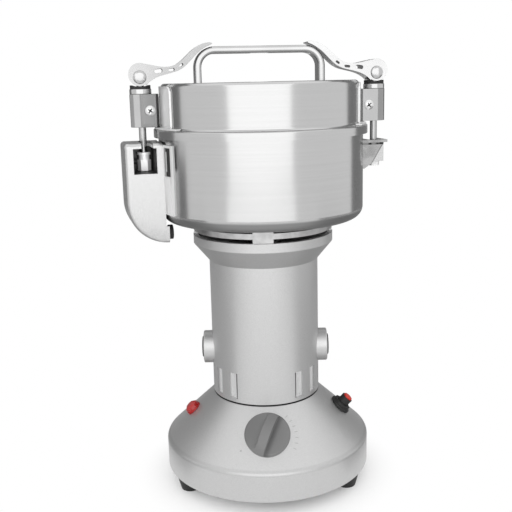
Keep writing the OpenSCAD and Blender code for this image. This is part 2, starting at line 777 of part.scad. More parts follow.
module upper_bearing_bracket() {
  ring_r = collar_r - 0.5;
  color([0.78, 0.79, 0.8]) difference() {
    union() {
      ring(ring_r - air_ring_t, ring_r, air_ring_z, air_ring_z + air_ring_h);
      intersection() {
        bracket_arms(4, ring_r - 12, ring_r + 5, post_w, collar_top_z, bowl_z);
        translate([0, 0, collar_top_z]) cylinder(r = ring_r, h = bowl_z - collar_top_z, $fn = 128);
      }
      bracket_arms(4, hub_r - 1, ring_r - 6, 10, collar_top_z, air_ring_z + air_ring_h);
      translate([0, 0, upper_bearing_z - 3]) cylinder(r = hub_r, h = bearing_h + 8);
    }
    translate([0, 0, upper_bearing_z]) cylinder(d = bearing_d + 2 * press_gap, h = 30);
    translate([0, 0, upper_bearing_z - 4]) cylinder(r = shaft_r + 2, h = 10);
    at_bowl_screws() translate([0, 0, bowl_z - bowl_screw_l])
      cylinder(r = bowl_screw_r + press_gap, h = bowl_screw_l + 1, $fn = 32);
  }
}

module at_bowl_screws() {
  for (a = [0:90:270]) rotate([0, 0, a]) translate([bowl_screw_circle_r, 0, 0]) children();
}

// Bowl

seal_neck_r = 12.9;

module bowl_outline(r, corner, z) {
  polygon(concat(
    [[0, z]],
    arc(r - corner, z + corner, corner, -90, 0, 12),
    [[r, bowl_rim_z + 5], [0, bowl_rim_z + 5]]));
}

module grinding_bowl() {
  color([0.8, 0.81, 0.82]) difference() {
    rotate_extrude($fn = 160) intersection() {
      difference() {
        bowl_outline(bowl_r, bowl_corner_r, bowl_z);
        bowl_outline(bowl_in_r, bowl_corner_r - bowl_wall, bowl_floor_z);
      }
      square([bowl_r + 1, bowl_rim_z]);
    }
    translate([0, 0, bowl_z - 1]) cylinder(r = seal_neck_r + press_gap, h = bowl_wall + 2);
    at_bowl_screws() translate([0, 0, bowl_z - 1])
      cylinder(r = bowl_screw_r + press_gap, h = bowl_wall + 2, $fn = 32);
  }
}

module bowl_screws() {
  head_h = 2.2;
  color([0.75, 0.75, 0.77]) at_bowl_screws() {
    translate([0, 0, bowl_floor_z]) difference() {
      cylinder(r = 3.6, h = head_h, $fn = 32);
      translate([0, 0, head_h - 1.1]) cross_recess(4, 1.2);
    }
    translate([0, 0, bowl_floor_z - bowl_screw_l]) cylinder(r = bowl_screw_r, h = bowl_screw_l, $fn = 32);
  }
}

module shaft_seal() {
  color([0.16, 0.16, 0.17]) difference() {
    union() {
      translate([0, 0, bowl_floor_z]) cylinder(r = seal_neck_r + 5, h = 2.5);
      translate([0, 0, bowl_z - 2]) cylinder(r = seal_neck_r, h = bowl_wall + 2);
    }
    translate([0, 0, bowl_z - 3]) cylinder(r = shaft_r + run_gap, h = 20, $fn = 64);
  }
}

// Blades

module lower_blade() {
  half_w = 9;
  tip_w = 6;
  color([0.76, 0.77, 0.79]) translate([0, 0, blade_z]) difference() {
    linear_extrude(blade_t) difference() {
      intersection() {
        polygon([for (s = [1, -1]) for (p = [
          [10, -half_w], [lower_blade_r + 2, -tip_w / 2], [lower_blade_r + 2, tip_w], [30, half_w]]) s * p]);
        circle(r = lower_blade_r);
      }
      circle(r = blade_screw_r + press_gap, $fn = 48);
    }
    for (s = [0, 180]) rotate([0, 0, s]) translate([20, half_w - 2.4, blade_t]) rotate([-35, 0, -2])
      cube([lower_blade_r, 8, 4]);
  }
}

module blade_spacer() {
  color([0.7, 0.71, 0.73])
    ring(blade_screw_r + press_gap, blade_seat_r - 1, blade_z + blade_t, upper_blade_z);
}

module upper_blade() {
  w = 15;
  flat = 12;
  rise = 28;
  bend = blade_t * tan(rise / 2);
  reach = upper_blade_r - flat;
  half = [
    [flat, 0], [upper_blade_r, reach * tan(rise)],
    [upper_blade_r - blade_t * sin(rise), reach * tan(rise) + blade_t * cos(rise)], [flat - bend, blade_t]];
  color([0.76, 0.77, 0.79]) rotate([0, 0, 70]) translate([0, 0, upper_blade_z]) difference() {
    rotate([90, 0, 0]) linear_extrude(w, center = true)
      polygon(concat(half, [for (i = [3:-1:0]) [-half[i][0], half[i][1]]]));
    for (s = [0, 180]) rotate([0, 0, s]) translate([flat, 0, 0]) rotate([0, -rise, 0])
      translate([10, w / 2 - 2.4, blade_t]) rotate([-35, 0, 0]) cube([upper_blade_r, 8, 4]);
    translate([0, 0, -1]) cylinder(r = blade_screw_r + press_gap, h = blade_t + 2, $fn = 48);
  }
}

module blade_nut() {
  washer_h = 1.2;
  color([0.78, 0.78, 0.8]) difference() {
    union() {
      translate([0, 0, upper_blade_z + blade_t]) cylinder(r = 8, h = washer_h, $fn = 48);
      translate([0, 0, upper_blade_z + blade_t + washer_h]) cylinder(r = 6, h = 5.5, $fn = 6);
    }
    translate([0, 0, upper_blade_z + blade_t - 1]) cylinder(r = blade_screw_r + press_gap, h = 10, $fn = 48);
  }
}

// Hooks on the bowl, drawn with +X outwards

saddle_z = bowl_z + bowl_corner_r;
saddle_window_az = [-19.5, -12.5];
saddle_window_h = 22;

module left_hook() {
  z1 = left_hook_z + hook_t;
  v0 = housing_v_front + housing_wall;
  color([0.82, 0.83, 0.84]) on_side(-1, hook_yaw) difference() {
    union() {
      sector_band(bowl_r - 1, saddle_r, saddle_z, z1, saddle_half_angle);
      translate([bowl_r - 5, v0, left_hook_z])
        cube([housing_u - 0.6 - bowl_r, housing_v_rear - housing_wall - v0, hook_t]);
    }
    translate([0, 0, saddle_z - 1]) cylinder(r = bowl_r, h = 80);
    translate([rod_u, 0, left_hook_z - 1]) hook_slot(rod_v, -60);
    rotate([0, 0, saddle_window_az[0]])
      rotate_extrude(angle = saddle_window_az[1] - saddle_window_az[0])
        translate([bowl_r - 1, z1 - 2 - saddle_window_h]) square([saddle_t + 2, saddle_window_h]);
  }
}

// Slot for a rod: a round end at v_end, open towards v_open
module hook_slot(v_end, v_open) {
  translate([0, v_end, 0]) cylinder(d = hook_slot_w, h = hook_t + 4, $fn = 48);
  translate([-hook_slot_w / 2, min(v_end, v_open), 0]) cube([hook_slot_w, abs(v_end - v_open), hook_t + 4]);
}

module housing_outline(inset) {
  r = housing_curve_r - inset;
  top = housing_top_z - inset;
  low = housing_top_z - housing_h + inset;
  out = housing_u - inset;
  corner = 3;
  polygon(concat(
    [[housing_u - housing_curve_r, low]],
    arc(housing_u - housing_curve_r, low + r, r, -90, 0, 24),
    arc(out - corner, top - corner, corner, 0, 90, 5),
    [[bowl_r - 12, top], [bowl_r - 12, housing_top_z - housing_h + housing_curve_r]],
    [[housing_u - housing_curve_r, housing_top_z - housing_h + housing_curve_r]]));
}

// Slices of the housing from full depth to the flat middle, which round its outer edges
module housing_body() {
  edge = 4;
  steps = 5;
  for (i = [0:steps - 1]) {
    a = i * 90 / steps;
    inset = edge * (1 - cos(a));
    reach = edge * (1 - sin(a));
    translate([0, housing_v_rear - reach, 0]) rotate([90, 0, 0])
      linear_extrude(housing_v_rear - housing_v_front - 2 * reach) housing_outline(inset);
  }
}

module switch_housing() {
  below_bowl_z = bowl_z - run_gap;
  color([0.86, 0.87, 0.88]) on_side(-1, hook_yaw) difference() {
    housing_body();
    translate([0, 0, below_bowl_z]) cylinder(r = saddle_r, h = 100, $fn = 160);
    translate([0, housing_v_rear - housing_wall, 0]) rotate([90, 0, 0])
      linear_extrude(housing_v_rear - housing_v_front - 2 * housing_wall) housing_outline(housing_wall);
    translate([pocket_u_in, housing_v_front - 1, pocket_z])
      cube([pocket_u_out - pocket_u_in, housing_wall + 2, left_hook_z - pocket_z]);
    translate([rod_u, 0, left_hook_z - 1]) hook_slot(rod_v, -60);
    translate([housing_u - housing_curve_r - 3, grommet_v, grommet_z]) rotate([0, 90, 0])
      cylinder(r = grommet_r + press_gap, h = 10, center = true, $fn = 32);
  }
}

module switch_carrier() {
  v0 = housing_v_front + housing_wall;
  v1 = housing_v_rear - housing_wall;
  z0 = pocket_z - 4;
  color([0.05, 0.05, 0.055]) on_side(-1, hook_yaw) difference() {
    translate([bowl_r, v0, z0]) cube([housing_u - housing_wall - 0.2 - bowl_r, v1 - v0, left_hook_z - z0]);
    translate([0, 0, z0 - 1]) cylinder(r = saddle_r, h = 60, $fn = 160);
    translate([pocket_u_in, v0 - 1, pocket_z]) cube([pocket_u_out - pocket_u_in, pocket_v_rear - v0 + 1, 60]);
    translate([pocket_u_out - 1, rod_v, plunger_z]) rotate([0, 90, 0])
      cylinder(r = plunger_r + fit_gap, h = 20, $fn = 32);
  }
}

plunger_r = 2;
plunger_z = left_hook_z - 12;
plunger_travel = 2.5;

module safety_plunger() {
  tip = rod_u + nut_d / 2 + run_gap;
  color([0.06, 0.06, 0.065]) on_side(-1, hook_yaw) translate([tip, rod_v, plunger_z]) rotate([0, 90, 0])
    cylinder(r = plunger_r, h = housing_u - housing_wall - run_gap - tip, $fn = 32);
}

module microswitch() {
  color([0.1, 0.1, 0.11]) on_side(-1, hook_yaw)
    translate([rod_u - 8, rod_v - 16, pocket_z - 4 - 12]) cube([20, 20, 12]);
}

grommet_r = 4.6;
grommet_z = housing_top_z - housing_h + 7.3;
grommet_v = -6;

module cable_grommet() {
  u = housing_u - housing_curve_r;
  color([0.05, 0.05, 0.055]) on_side(-1, hook_yaw) translate([u, grommet_v, grommet_z]) rotate([0, -90, 0])
    difference() {
      union() {
        translate([0, 0, -housing_wall]) cylinder(r = grommet_r, h = housing_wall, $fn = 32);
        cylinder(r = grommet_r + 1.2, h = 4, $fn = 32);
      }
      translate([0, 0, -5]) cylinder(r = 2.6, h = 12, $fn = 32);
    }
}

module right_hook() {
  z1 = right_hook_z + hook_t;
  low = z1 - 24.5;
  v0 = -rod_v - 7.5;
  out = rod_u + 9.6;
  gusset = 1.5;
  step = right_hook_z - 15.5;
  color([0.82, 0.83, 0.84]) on_side(1, hook_yaw) difference() {
    union() {
      translate([bowl_r - 6, v0, right_hook_z]) cube([out - bowl_r + 6, 8 - v0, hook_t]);
      sector_band(bowl_r - 1, saddle_r, low, z1, 10.4);
      translate([0, v0 + gusset, 0]) rotate([90, 0, 0]) linear_extrude(gusset) polygon([
        [bowl_r - 6, right_hook_z + 1], [out - 3.5, right_hook_z + 1], [out - 3.5, step],
        [out - 12, step], [bowl_r + 1, low + 1], [bowl_r - 6, low + 1]]);
    }
    translate([0, 0, low - 1]) cylinder(r = bowl_r, h = 40);
    translate([rod_u, 0, right_hook_z - 1]) hook_slot(-rod_v, 60);
  }
}

// Lid

module lid_shell() {
  top_in = lid_top_z - lid_wall;
  fillet = 2;
  color([0.8, 0.81, 0.82]) difference() {
    rotate_extrude($fn = 160) polygon(concat(
      [[rim_r, rim_z]],
      arc(rim_r - 1, rim_top_z - 1, 1, 0, 90, 4),
      arc(lid_r + fillet, rim_top_z + fillet, fillet, 270, 180, 5),
      arc(lid_r - lid_edge_r, lid_top_z - lid_edge_r, lid_edge_r, 0, 90, 8),
      [[0, lid_top_z], [0, top_in], [lid_r - lid_wall, top_in], [lid_r - lid_wall, rim_top_z - lid_wall],
       [rim_r - lid_wall, rim_top_z - lid_wall], [rim_r - lid_wall, rim_z]]));
    at_handle_legs() translate([0, 0, top_in - 1])
      cylinder(r = handle_screw_r + press_gap, h = lid_wall + 2, $fn = 32);
  }
}

handle_screw_r = 1.6;
handle_screw_l = 9;
liner_flange_z = bowl_rim_z + run_gap + seal_h;
plug_r = bowl_in_r - 0.9;

module lid_liner() {
  flange_t = rim_top_z - lid_wall - liner_flange_z;
  plug_low = liner_flange_z - 9;
  color([0.76, 0.77, 0.78]) rotate_extrude($fn = 128) polygon([
    [0, plug_low], [plug_r - 2, plug_low], [plug_r, plug_low + 2], [plug_r, liner_flange_z],
    [rim_r - lid_wall - run_gap, liner_flange_z], [rim_r - lid_wall - run_gap, liner_flange_z + flange_t],
    [plug_r - 2, liner_flange_z + flange_t], [plug_r - 2, plug_low + 1.2], [0, plug_low + 1.2]]);
}

module lid_seal() {
  color([0.86, 0.86, 0.84])
    ring(plug_r + press_gap, rim_r - lid_wall - run_gap, liner_flange_z - seal_h, liner_flange_z);
}

module at_handle_legs() {
  for (s = [-1, 1]) rotate([0, 0, clamp_yaw]) translate([s * (handle_w - handle_t) / 2, 0, 0]) children();
}

module strap_profile() {
  rounded_rect(handle_t, handle_depth, 2.4);
}

module lid_handle() {
  mid_r = handle_bend_r - handle_t / 2;
  corner_x = handle_w / 2 - handle_bend_r;
  corner_z = handle_top_z - handle_bend_r;
  color([0.82, 0.83, 0.84]) rotate([0, 0, clamp_yaw]) difference() {
    union() {
      for (s = [0, 180]) rotate([0, 0, s]) {
        translate([(handle_w - handle_t) / 2, 0, lid_top_z])
          linear_extrude(corner_z - lid_top_z) strap_profile();
        translate([corner_x, 0, corner_z]) rotate([90, 0, 0]) rotate_extrude(angle = 90, $fn = 64)
          translate([mid_r, 0]) strap_profile();
      }
      translate([-corner_x, 0, handle_top_z - handle_t / 2]) rotate([0, 90, 0])
        linear_extrude(2 * corner_x) strap_profile();
    }
    for (s = [-1, 1]) translate([s * (handle_w - handle_t) / 2, 0, lid_top_z - 1])
      cylinder(r = handle_screw_r + press_gap, h = handle_screw_l + 1, $fn = 32);
  }
}

// Clamps, drawn with +X outwards and the rod at clamp_r

tongue_t = 6;
tongue_out = clamp_r - rod_d / 2 - 1.5;
bracket_half_angle = 23;
block_screw_u = clamp_r - 6.8;
block_screw_z = block_z + block_h / 2;
block_screw_r = 2;

module lid_bracket() {
  plate_z = lid_top_z - 2;
  foot_half_angle = 33;
  foot_t = 1.5;
  fillet = 2;
  fold = 0.5;
  corner = 5;
  outer = lid_r + saddle_t;
  half_w = outer * sin(bracket_half_angle);
  difference() {
    union() {
      difference() {
        rotate([0, 0, -foot_half_angle]) rotate_extrude(angle = 2 * foot_half_angle) polygon([
          [lid_r + fillet, rim_top_z], [rim_r - 1, rim_top_z], [rim_r - 1, rim_top_z + foot_t],
          [outer + fold, rim_top_z + foot_t], [outer, rim_top_z + foot_t + fold], [outer, plate_z],
          [lid_r, plate_z], [lid_r, rim_top_z + fillet]]);
        for (s = [-1, 1]) {
          translate([lid_r * 0.6, s * (half_w + 20), rim_top_z + foot_t + 20])
            cube([2 * lid_r, 40, 40], center = true);
          corner_cut(s, half_w, plate_z, corner);
        }
      }
      translate([lid_r + 0.5, -tongue_t / 2, block_z + 1.5])
        cube([tongue_out - lid_r - 0.5, tongue_t, block_h - 4]);
    }
    translate([block_screw_u, 0, block_screw_z]) rotate([90, 0, 0])
      cylinder(r = block_screw_r + press_gap, h = 30, center = true, $fn = 32);
  }
}

module left_lid_bracket() {
  color([0.8, 0.81, 0.82]) on_side(-1, clamp_yaw) lid_bracket();
}

module right_lid_bracket() {
  color([0.8, 0.81, 0.82]) on_side(1, clamp_yaw) lid_bracket();
}

module swing_block() {
  inner = lid_r + saddle_t + 0.6;
  r = block_w / 2;
  difference() {
    translate([0, 0, block_z]) linear_extrude(block_h) difference() {
      union() {
        translate([clamp_r, 0]) circle(r = r, $fn = 64);
        translate([inner, -r]) square([clamp_r - inner, block_w]);
      }
      translate([clamp_r, 0]) circle(d = rod_d + 2 * fit_gap, $fn = 48);
      translate([inner - 1, -tongue_t / 2 - press_gap])
        square([tongue_out - inner + 1.3, tongue_t + 2 * press_gap]);
      for (s = [-1, 1]) translate([inner, s * r]) rotate(45) square(3, center = true);
    }
    translate([block_screw_u, 0, block_screw_z]) rotate([90, 0, 0])
      cylinder(r = block_screw_r + press_gap, h = 40, center = true, $fn = 32);
  }
}

module left_swing_block() {
  color([0.78, 0.79, 0.8]) on_side(-1, clamp_yaw) swing_block();
}

module right_swing_block() {
  color([0.78, 0.79, 0.8]) on_side(1, clamp_yaw) swing_block();
}

// Pan-head screw along +Z, its head's seat at z = 0
module pan_screw(shank_r, length, head_r, head_h) {
  dome_r = 1.55 * head_r;
  translate([0, 0, -length]) cylinder(r = shank_r, h = length, $fn = 32);
  difference() {
    intersection() {
      cylinder(r = head_r, h = head_h, $fn = 48);
      translate([0, 0, head_h - dome_r]) sphere(r = dome_r, $fn = 48);
    }
    translate([0, 0, head_h - 1.1]) cross_recess(1.15 * head_r, 1.4);
  }
}

module lid_screws() {
  color([0.75, 0.75, 0.77]) {
    both_sides(clamp_yaw) translate([block_screw_u, -block_w / 2, block_screw_z]) rotate([90, 0, 0])
      pan_screw(block_screw_r, block_w + 1, 4, 2.2);
    at_handle_legs() translate([0, 0, lid_top_z - lid_wall]) rotate([180, 0, 0])
      pan_screw(handle_screw_r, lid_wall + handle_screw_l - 1, 3.4, 2);
  }
}

module seat_rings() {
  color([0.82, 0.82, 0.83]) both_sides(clamp_yaw) translate([clamp_r, 0, 0])
    ring(rod_d / 2 + fit_gap, block_w / 2 - 0.2, block_top_z, ring_top_z);
}

module cam_seats() {
  color([0.06, 0.06, 0.065]) both_sides(clamp_yaw) translate([clamp_r, 0, 0]) difference() {
    ring(rod_d / 2 + fit_gap, block_w / 2 - 0.7, ring_top_z, ring_top_z + seat_h);
    translate([0, 0, ring_top_z + seat_h - seat_depth + seat_groove_r]) rotate([90, 0, 0])
      cylinder(r = seat_groove_r, h = 40, center = true, $fn = 128);
  }
}

rod_bottom_inset = 1;
pin_cap = 1.2;

module rod(hook_z) {
  nut_top = hook_z - hook_gap - rod_lift;
  translate([clamp_r, 0, nut_top - nut_h + rod_bottom_inset])
    cylinder(d = rod_d, h = pin_z + pin_d / 2 - pin_cap - nut_top + nut_h - rod_bottom_inset, $fn = 48);
}

module left_rod() {
  color([0.7, 0.71, 0.72]) on_side(-1, clamp_yaw) rod(left_hook_z);
}

module right_rod() {
  color([0.7, 0.71, 0.72]) on_side(1, clamp_yaw) rod(right_hook_z);
}

module rod_nut(hook_z) {
  nut_top = hook_z - hook_gap - rod_lift;
  neck_h = 4;
  translate([clamp_r, 0, nut_top - nut_h]) difference() {
    union() {
      cylinder(d = nut_d, h = nut_h - nut_head_h - neck_h, $fn = 6);
      cylinder(d = nut_d - 1.8, h = nut_h, $fn = 48);
      translate([0, 0, nut_h - nut_head_h]) cylinder(d = nut_d, h = nut_head_h, $fn = 48);
    }
    translate([0, 0, rod_bottom_inset]) cylinder(r = rod_d / 2 + press_gap, h = nut_h, $fn = 48);
  }
}

module left_rod_nut() {
  color([0.72, 0.73, 0.74]) on_side(-1, clamp_yaw) rod_nut(left_hook_z);
}

module right_rod_nut() {
  color([0.72, 0.73, 0.74]) on_side(1, clamp_yaw) rod_nut(right_hook_z);
}

module barrel_pin() {
  half = lever_w / 2 + 0.4;
  r = pin_d / 2;
  dome = 1.7;
  translate([clamp_r, 0, pin_z]) difference() {
    rotate([90, 0, 0]) rotate_extrude($fn = 64) polygon(concat(
      [for (i = [-6:0]) [r * cos(15 * i), dome * sin(15 * i) - half]],
      [for (i = [0:6]) [r * cos(15 * i), dome * sin(15 * i) + half]]));
    translate([0, 0, -pin_d]) cylinder(r = rod_d / 2 + press_gap, h = pin_d + r - pin_cap, $fn = 48);
  }
}

module left_barrel_pin() {
  color([0.85, 0.86, 0.87]) on_side(-1, clamp_yaw) barrel_pin();
}

module right_barrel_pin() {
  color([0.85, 0.86, 0.87]) on_side(1, clamp_yaw) barrel_pin();
}

// Lever outline around its pin: +X points inwards along the arm
module lever_outline() {
  lower = concat(
    curve([[5, -6], [11, 1], [20, 1.5], [28, 3.8]], 8),
    curve([[28, 3.8], [40, 7.5], [42, 19], [57, 24.2]], 12));
  upper = concat(
    curve([[55, 25.6], [42, 25], [38, 14.5], [28.5, 9.4]], 12),
    curve([[28.5, 9.4], [21, 5.6], [13, 8.6], [4, 10.2]], 8));
  difference() {
    union() {
      translate([0, cam_offset]) circle(d = cam_d, $fn = 96);
      polygon(concat(lower, [[57.2, 25]], upper, [[0, cam_offset]]));
    }
    translate([14.6, 4.6]) rotate(8) stadium(6.4, 3);
    translate([24.8, 5.3]) rotate(6) stadium(5, 1.9);
    translate([32.6, 8.6]) rotate(35) stadium(3.6, 1.7);
  }
}

module cam_lever() {
  slot_w = rod_d + 2 * run_gap + 0.4;
  translate([clamp_r, 0, pin_z]) difference() {
    mirror([1, 0, 0]) rotate([90, 0, 0]) linear_extrude(lever_w, center = true) lever_outline();
    rotate([90, 0, 0]) cylinder(r = pin_d / 2 + fit_gap, h = 40, center = true, $fn = 64);
    translate([-7, -slot_w / 2, -cam_d]) cube([cam_d + 7, slot_w, 3 * cam_d]);
  }
}

module left_cam_lever() {
  color([0.84, 0.85, 0.86]) on_side(-1, clamp_yaw) cam_lever();
}

module right_cam_lever() {
  color([0.84, 0.85, 0.86]) on_side(1, clamp_yaw) cam_lever();
}

base_shell();
bottom_plate();
rubber_feet();
foot_screws();
timer_body();
timer_shaft();
timer_knob();
indicator_lamp();
breaker_nut();
breaker_body();
reset_button();
cord_gland();
column_housing();
brush_caps();
brush_holders();
carbon_brushes();
lower_bearing_bracket();
lower_bearing();
stator_core();
field_coils();
motor_shaft();
commutator();
armature_core();
armature_windings();
cooling_fan();
upper_bearing_bracket();
upper_bearing();
grinding_bowl();
bowl_screws();
shaft_seal();
lower_blade();
blade_spacer();
upper_blade();
blade_nut();
left_hook();
switch_housing();
switch_carrier();
microswitch();
safety_plunger();
cable_grommet();
right_hook();
lid_shell();
lid_liner();
lid_seal();
lid_handle();
left_lid_bracket();
right_lid_bracket();
left_swing_block();
right_swing_block();
lid_screws();
seat_rings();
cam_seats();
left_rod();
right_rod();
left_rod_nut();
right_rod_nut();
left_barrel_pin();
right_barrel_pin();
left_cam_lever();
right_cam_lever();
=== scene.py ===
import json
import math

import bmesh
import bpy
import numpy as np
from mathutils import Matrix, Vector


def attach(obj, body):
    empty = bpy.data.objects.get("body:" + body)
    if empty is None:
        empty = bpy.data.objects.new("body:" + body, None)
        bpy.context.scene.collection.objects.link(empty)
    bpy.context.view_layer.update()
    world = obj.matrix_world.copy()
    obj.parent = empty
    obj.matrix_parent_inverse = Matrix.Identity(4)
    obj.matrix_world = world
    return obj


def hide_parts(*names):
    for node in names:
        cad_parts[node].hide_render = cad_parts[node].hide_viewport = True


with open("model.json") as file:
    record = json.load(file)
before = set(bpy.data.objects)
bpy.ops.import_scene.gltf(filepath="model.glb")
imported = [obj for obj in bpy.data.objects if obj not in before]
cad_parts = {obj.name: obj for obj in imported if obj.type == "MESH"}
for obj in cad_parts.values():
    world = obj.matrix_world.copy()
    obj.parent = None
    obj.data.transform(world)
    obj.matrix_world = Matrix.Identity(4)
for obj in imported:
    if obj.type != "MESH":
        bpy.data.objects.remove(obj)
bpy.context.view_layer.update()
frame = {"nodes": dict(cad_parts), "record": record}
nodes = frame["nodes"]
mm = 0.001
print("model loaded:", len(nodes), "nodes")


# Camera at the photograph's viewing angle

photoView = {
    "eye": (0.0, -0.6535, 0.3356),
    "pitchDown": 12.454,                # degrees
    "lean": 1.284,                      # degrees that the picture is turned, top to the left
    "focal": 55.695, "sensor": 36,      # mm
    "shiftX": -0.0145,
}


def makeCamera(view):
    pitch, lean = math.radians(view["pitchDown"]), math.radians(view["lean"])
    forward = Vector((0, math.cos(pitch), -math.sin(pitch)))
    right = Vector((1, 0, 0))
    up = right.cross(forward)
    xAxis = math.cos(lean) * right - math.sin(lean) * up
    yAxis = math.sin(lean) * right + math.cos(lean) * up
    data = bpy.data.cameras.new("photoCamera")
    data.lens = view["focal"]
    data.sensor_width = view["sensor"]
    data.shift_x = view["shiftX"]
    camera = bpy.data.objects.new("photoCamera", data)
    camera.matrix_world = Matrix.Translation(view["eye"]) @ Matrix(
        (xAxis, yAxis, -forward)).transposed().to_4x4()
    bpy.context.scene.collection.objects.link(camera)
    bpy.context.scene.camera = camera


makeCamera(photoView)
bpy.context.scene.view_settings.view_transform = "Standard"
print("camera set")


# Shader maths written as sums

class Wire:
    # a node's output socket that takes part in sums
    def __init__(self, finish, socket):
        self.finish, self.socket = finish, socket

    def calc(self, operation, *others):
        return self.finish.add("ShaderNodeMath", {"operation": operation}, (self,) + others)

    def __add__(self, other):
        return self.calc("ADD", other)

    def __radd__(self, other):
        return self.calc("ADD", other)

    def __sub__(self, other):
        return self.calc("SUBTRACT", other)

    def __rsub__(self, other):
        return self.finish.add("ShaderNodeMath", {"operation": "SUBTRACT"}, (other, self))

    def __mul__(self, other):
        return self.calc("MULTIPLY", other)

    def __rmul__(self, other):
        return self.calc("MULTIPLY", other)

    def __truediv__(self, other):
        return self.calc("DIVIDE", other)

    def __rtruediv__(self, other):
        return self.finish.add("ShaderNodeMath", {"operation": "DIVIDE"}, (other, self))

    def ramp(self, low, high, toLow=0.0, toHigh=1.0):
        # smooth step from toLow at low to toHigh at high
        return self.finish.add(
            "ShaderNodeMapRange", {"interpolation_type": "SMOOTHSTEP"},
            {"Value": self, "From Min": low, "From Max": high, "To Min": toLow, "To Max": toHigh})


sideBlend = 0.02      # half the band, across the machine's middle, where left changes to right
# detail and roughness of each kind of noise
noiseKinds = {"fine": (3.0, 0.6), "broad": (3.0, 0.5), "cloud": (2.0, 0.5), "flake": (2.0, 0.7)}


class Finish:
    # one material round a Principled shader, whose fixed values are set on its own sockets
    def __init__(self, name, fixed):
        self.material = bpy.data.materials.new(name)
        self.material.use_nodes = True
        self.tree = self.material.node_tree
        self.tree.nodes.clear()
        self.output = self.tree.nodes.new("ShaderNodeOutputMaterial")
        self.shader = self.tree.nodes.new("ShaderNodeBsdfPrincipled")
        self.tree.links.new(self.shader.outputs[0], self.output.inputs["Surface"])
        for socket, value in fixed.items():
            self.shader.inputs[socket].default_value = value

    def add(self, kind, settings=None, inputs=(), output=0):
        node = self.tree.nodes.new(kind)
        for name, value in (settings or {}).items():
            setattr(node, name, value)
        pairs = inputs.items() if isinstance(inputs, dict) else enumerate(inputs)
        for key, value in pairs:
            if isinstance(value, Wire):
                self.tree.links.new(value.socket, node.inputs[key])
            else:
                node.inputs[key].default_value = value
        return Wire(self, node.outputs[output])

    def feed(self, socket, wire):
        self.tree.links.new(wire.socket, self.shader.inputs[socket])

    def place(self):
        return self.add("ShaderNodeTexCoord", output="Object")

    def split(self, vector):
        return [self.add("ShaderNodeSeparateXYZ", inputs=(vector,), output=i) for i in range(3)]

    def join(self, x, y, z):
        return self.add("ShaderNodeCombineXYZ", inputs=(x, y, z))

    def noise(self, kind, scale, vector=None):
        detail, roughness = noiseKinds[kind]
        return self.add("ShaderNodeTexNoise", inputs={
            "Vector": vector or self.place(), "Scale": scale, "Detail": detail,
            "Roughness": roughness})

    def blendColour(self, mask, colourA, colourB):
        return self.add("ShaderNodeMix", {"data_type": "RGBA"},
                        {"Factor": mask, "A": colourA, "B": colourB}, output=2)

    def feedRoughness(self, level, *noises):
        # level is the mean, and each noise, from 0 to 1, spreads it by its amount
        total = level - sum(amount for noise, amount in noises) / 2
        for noise, amount in noises:
            total = noise * amount + total
        self.feed("Roughness", total)

    def bump(self, height, strength, depth, lean=None):
        # lean turns the faces about the upright, by one angle on the left and one on the right
        values = {"Height": height, "Strength": strength, "Distance": depth}
        if lean:
            facing = self.add("ShaderNodeNewGeometry", output=1)
            x = self.split(self.place())[0]
            angle = x.ramp(-sideBlend, sideBlend, math.radians(lean[0]), math.radians(lean[1]))
            values["Normal"] = self.add("ShaderNodeVectorRotate", {"rotation_type": "Z_AXIS"},
                                        {"Vector": facing, "Angle": angle})
        self.feed("Normal", self.add("ShaderNodeBump", inputs=values))


plainGloss = 0.5               # specular level of every finish on the machine
evenSplit = (0.3, 0.7)         # noise levels between which one tone turns into the other


def grey(value, warm=0.0):
    return (value * (1 + warm), value, value * (1 - warm), 1.0)


def between(wire, low, high, soft):
    return wire.ramp(low - soft, low + soft) * wire.ramp(high + soft, high - soft)


def diagonal(first, second):
    return (first * first + second * second).calc("SQRT")


# Metals: lines run round the machine's axis on turned and spun pieces

turnedSteel = {
    "colour": 0.53, "dark": 0.97, "roughness": 0.18,
    "lineScale": 900.0, "round": 6.0, "lineDepth": 0.00002, "lineStrength": 0.04,
    "lineSpread": 0.02, "cloudScale": 14.0, "cloudSpread": 0.04,
    "strapFrom": (0.0802, 0.3004),        # radius and height where the lid's straps begin
    "strapColour": 0.80, "strapMetallic": 0.45, "strapRougher": 0.12,
    # the tongues' black colour is painted shade
    "tongueFrom": (0.0856, 0.3025), "tongueShadeColour": 0.02,
    "cornerTop": (0.2342, 0.2322),        # the bowl's lower corner, from no painted shade to full painted shade
    "cornerRadius": (0.060, 0.061), "cornerPaintedShade": 0.52, "cornerRougher": 0.25,
    "soft": 0.0002,
}


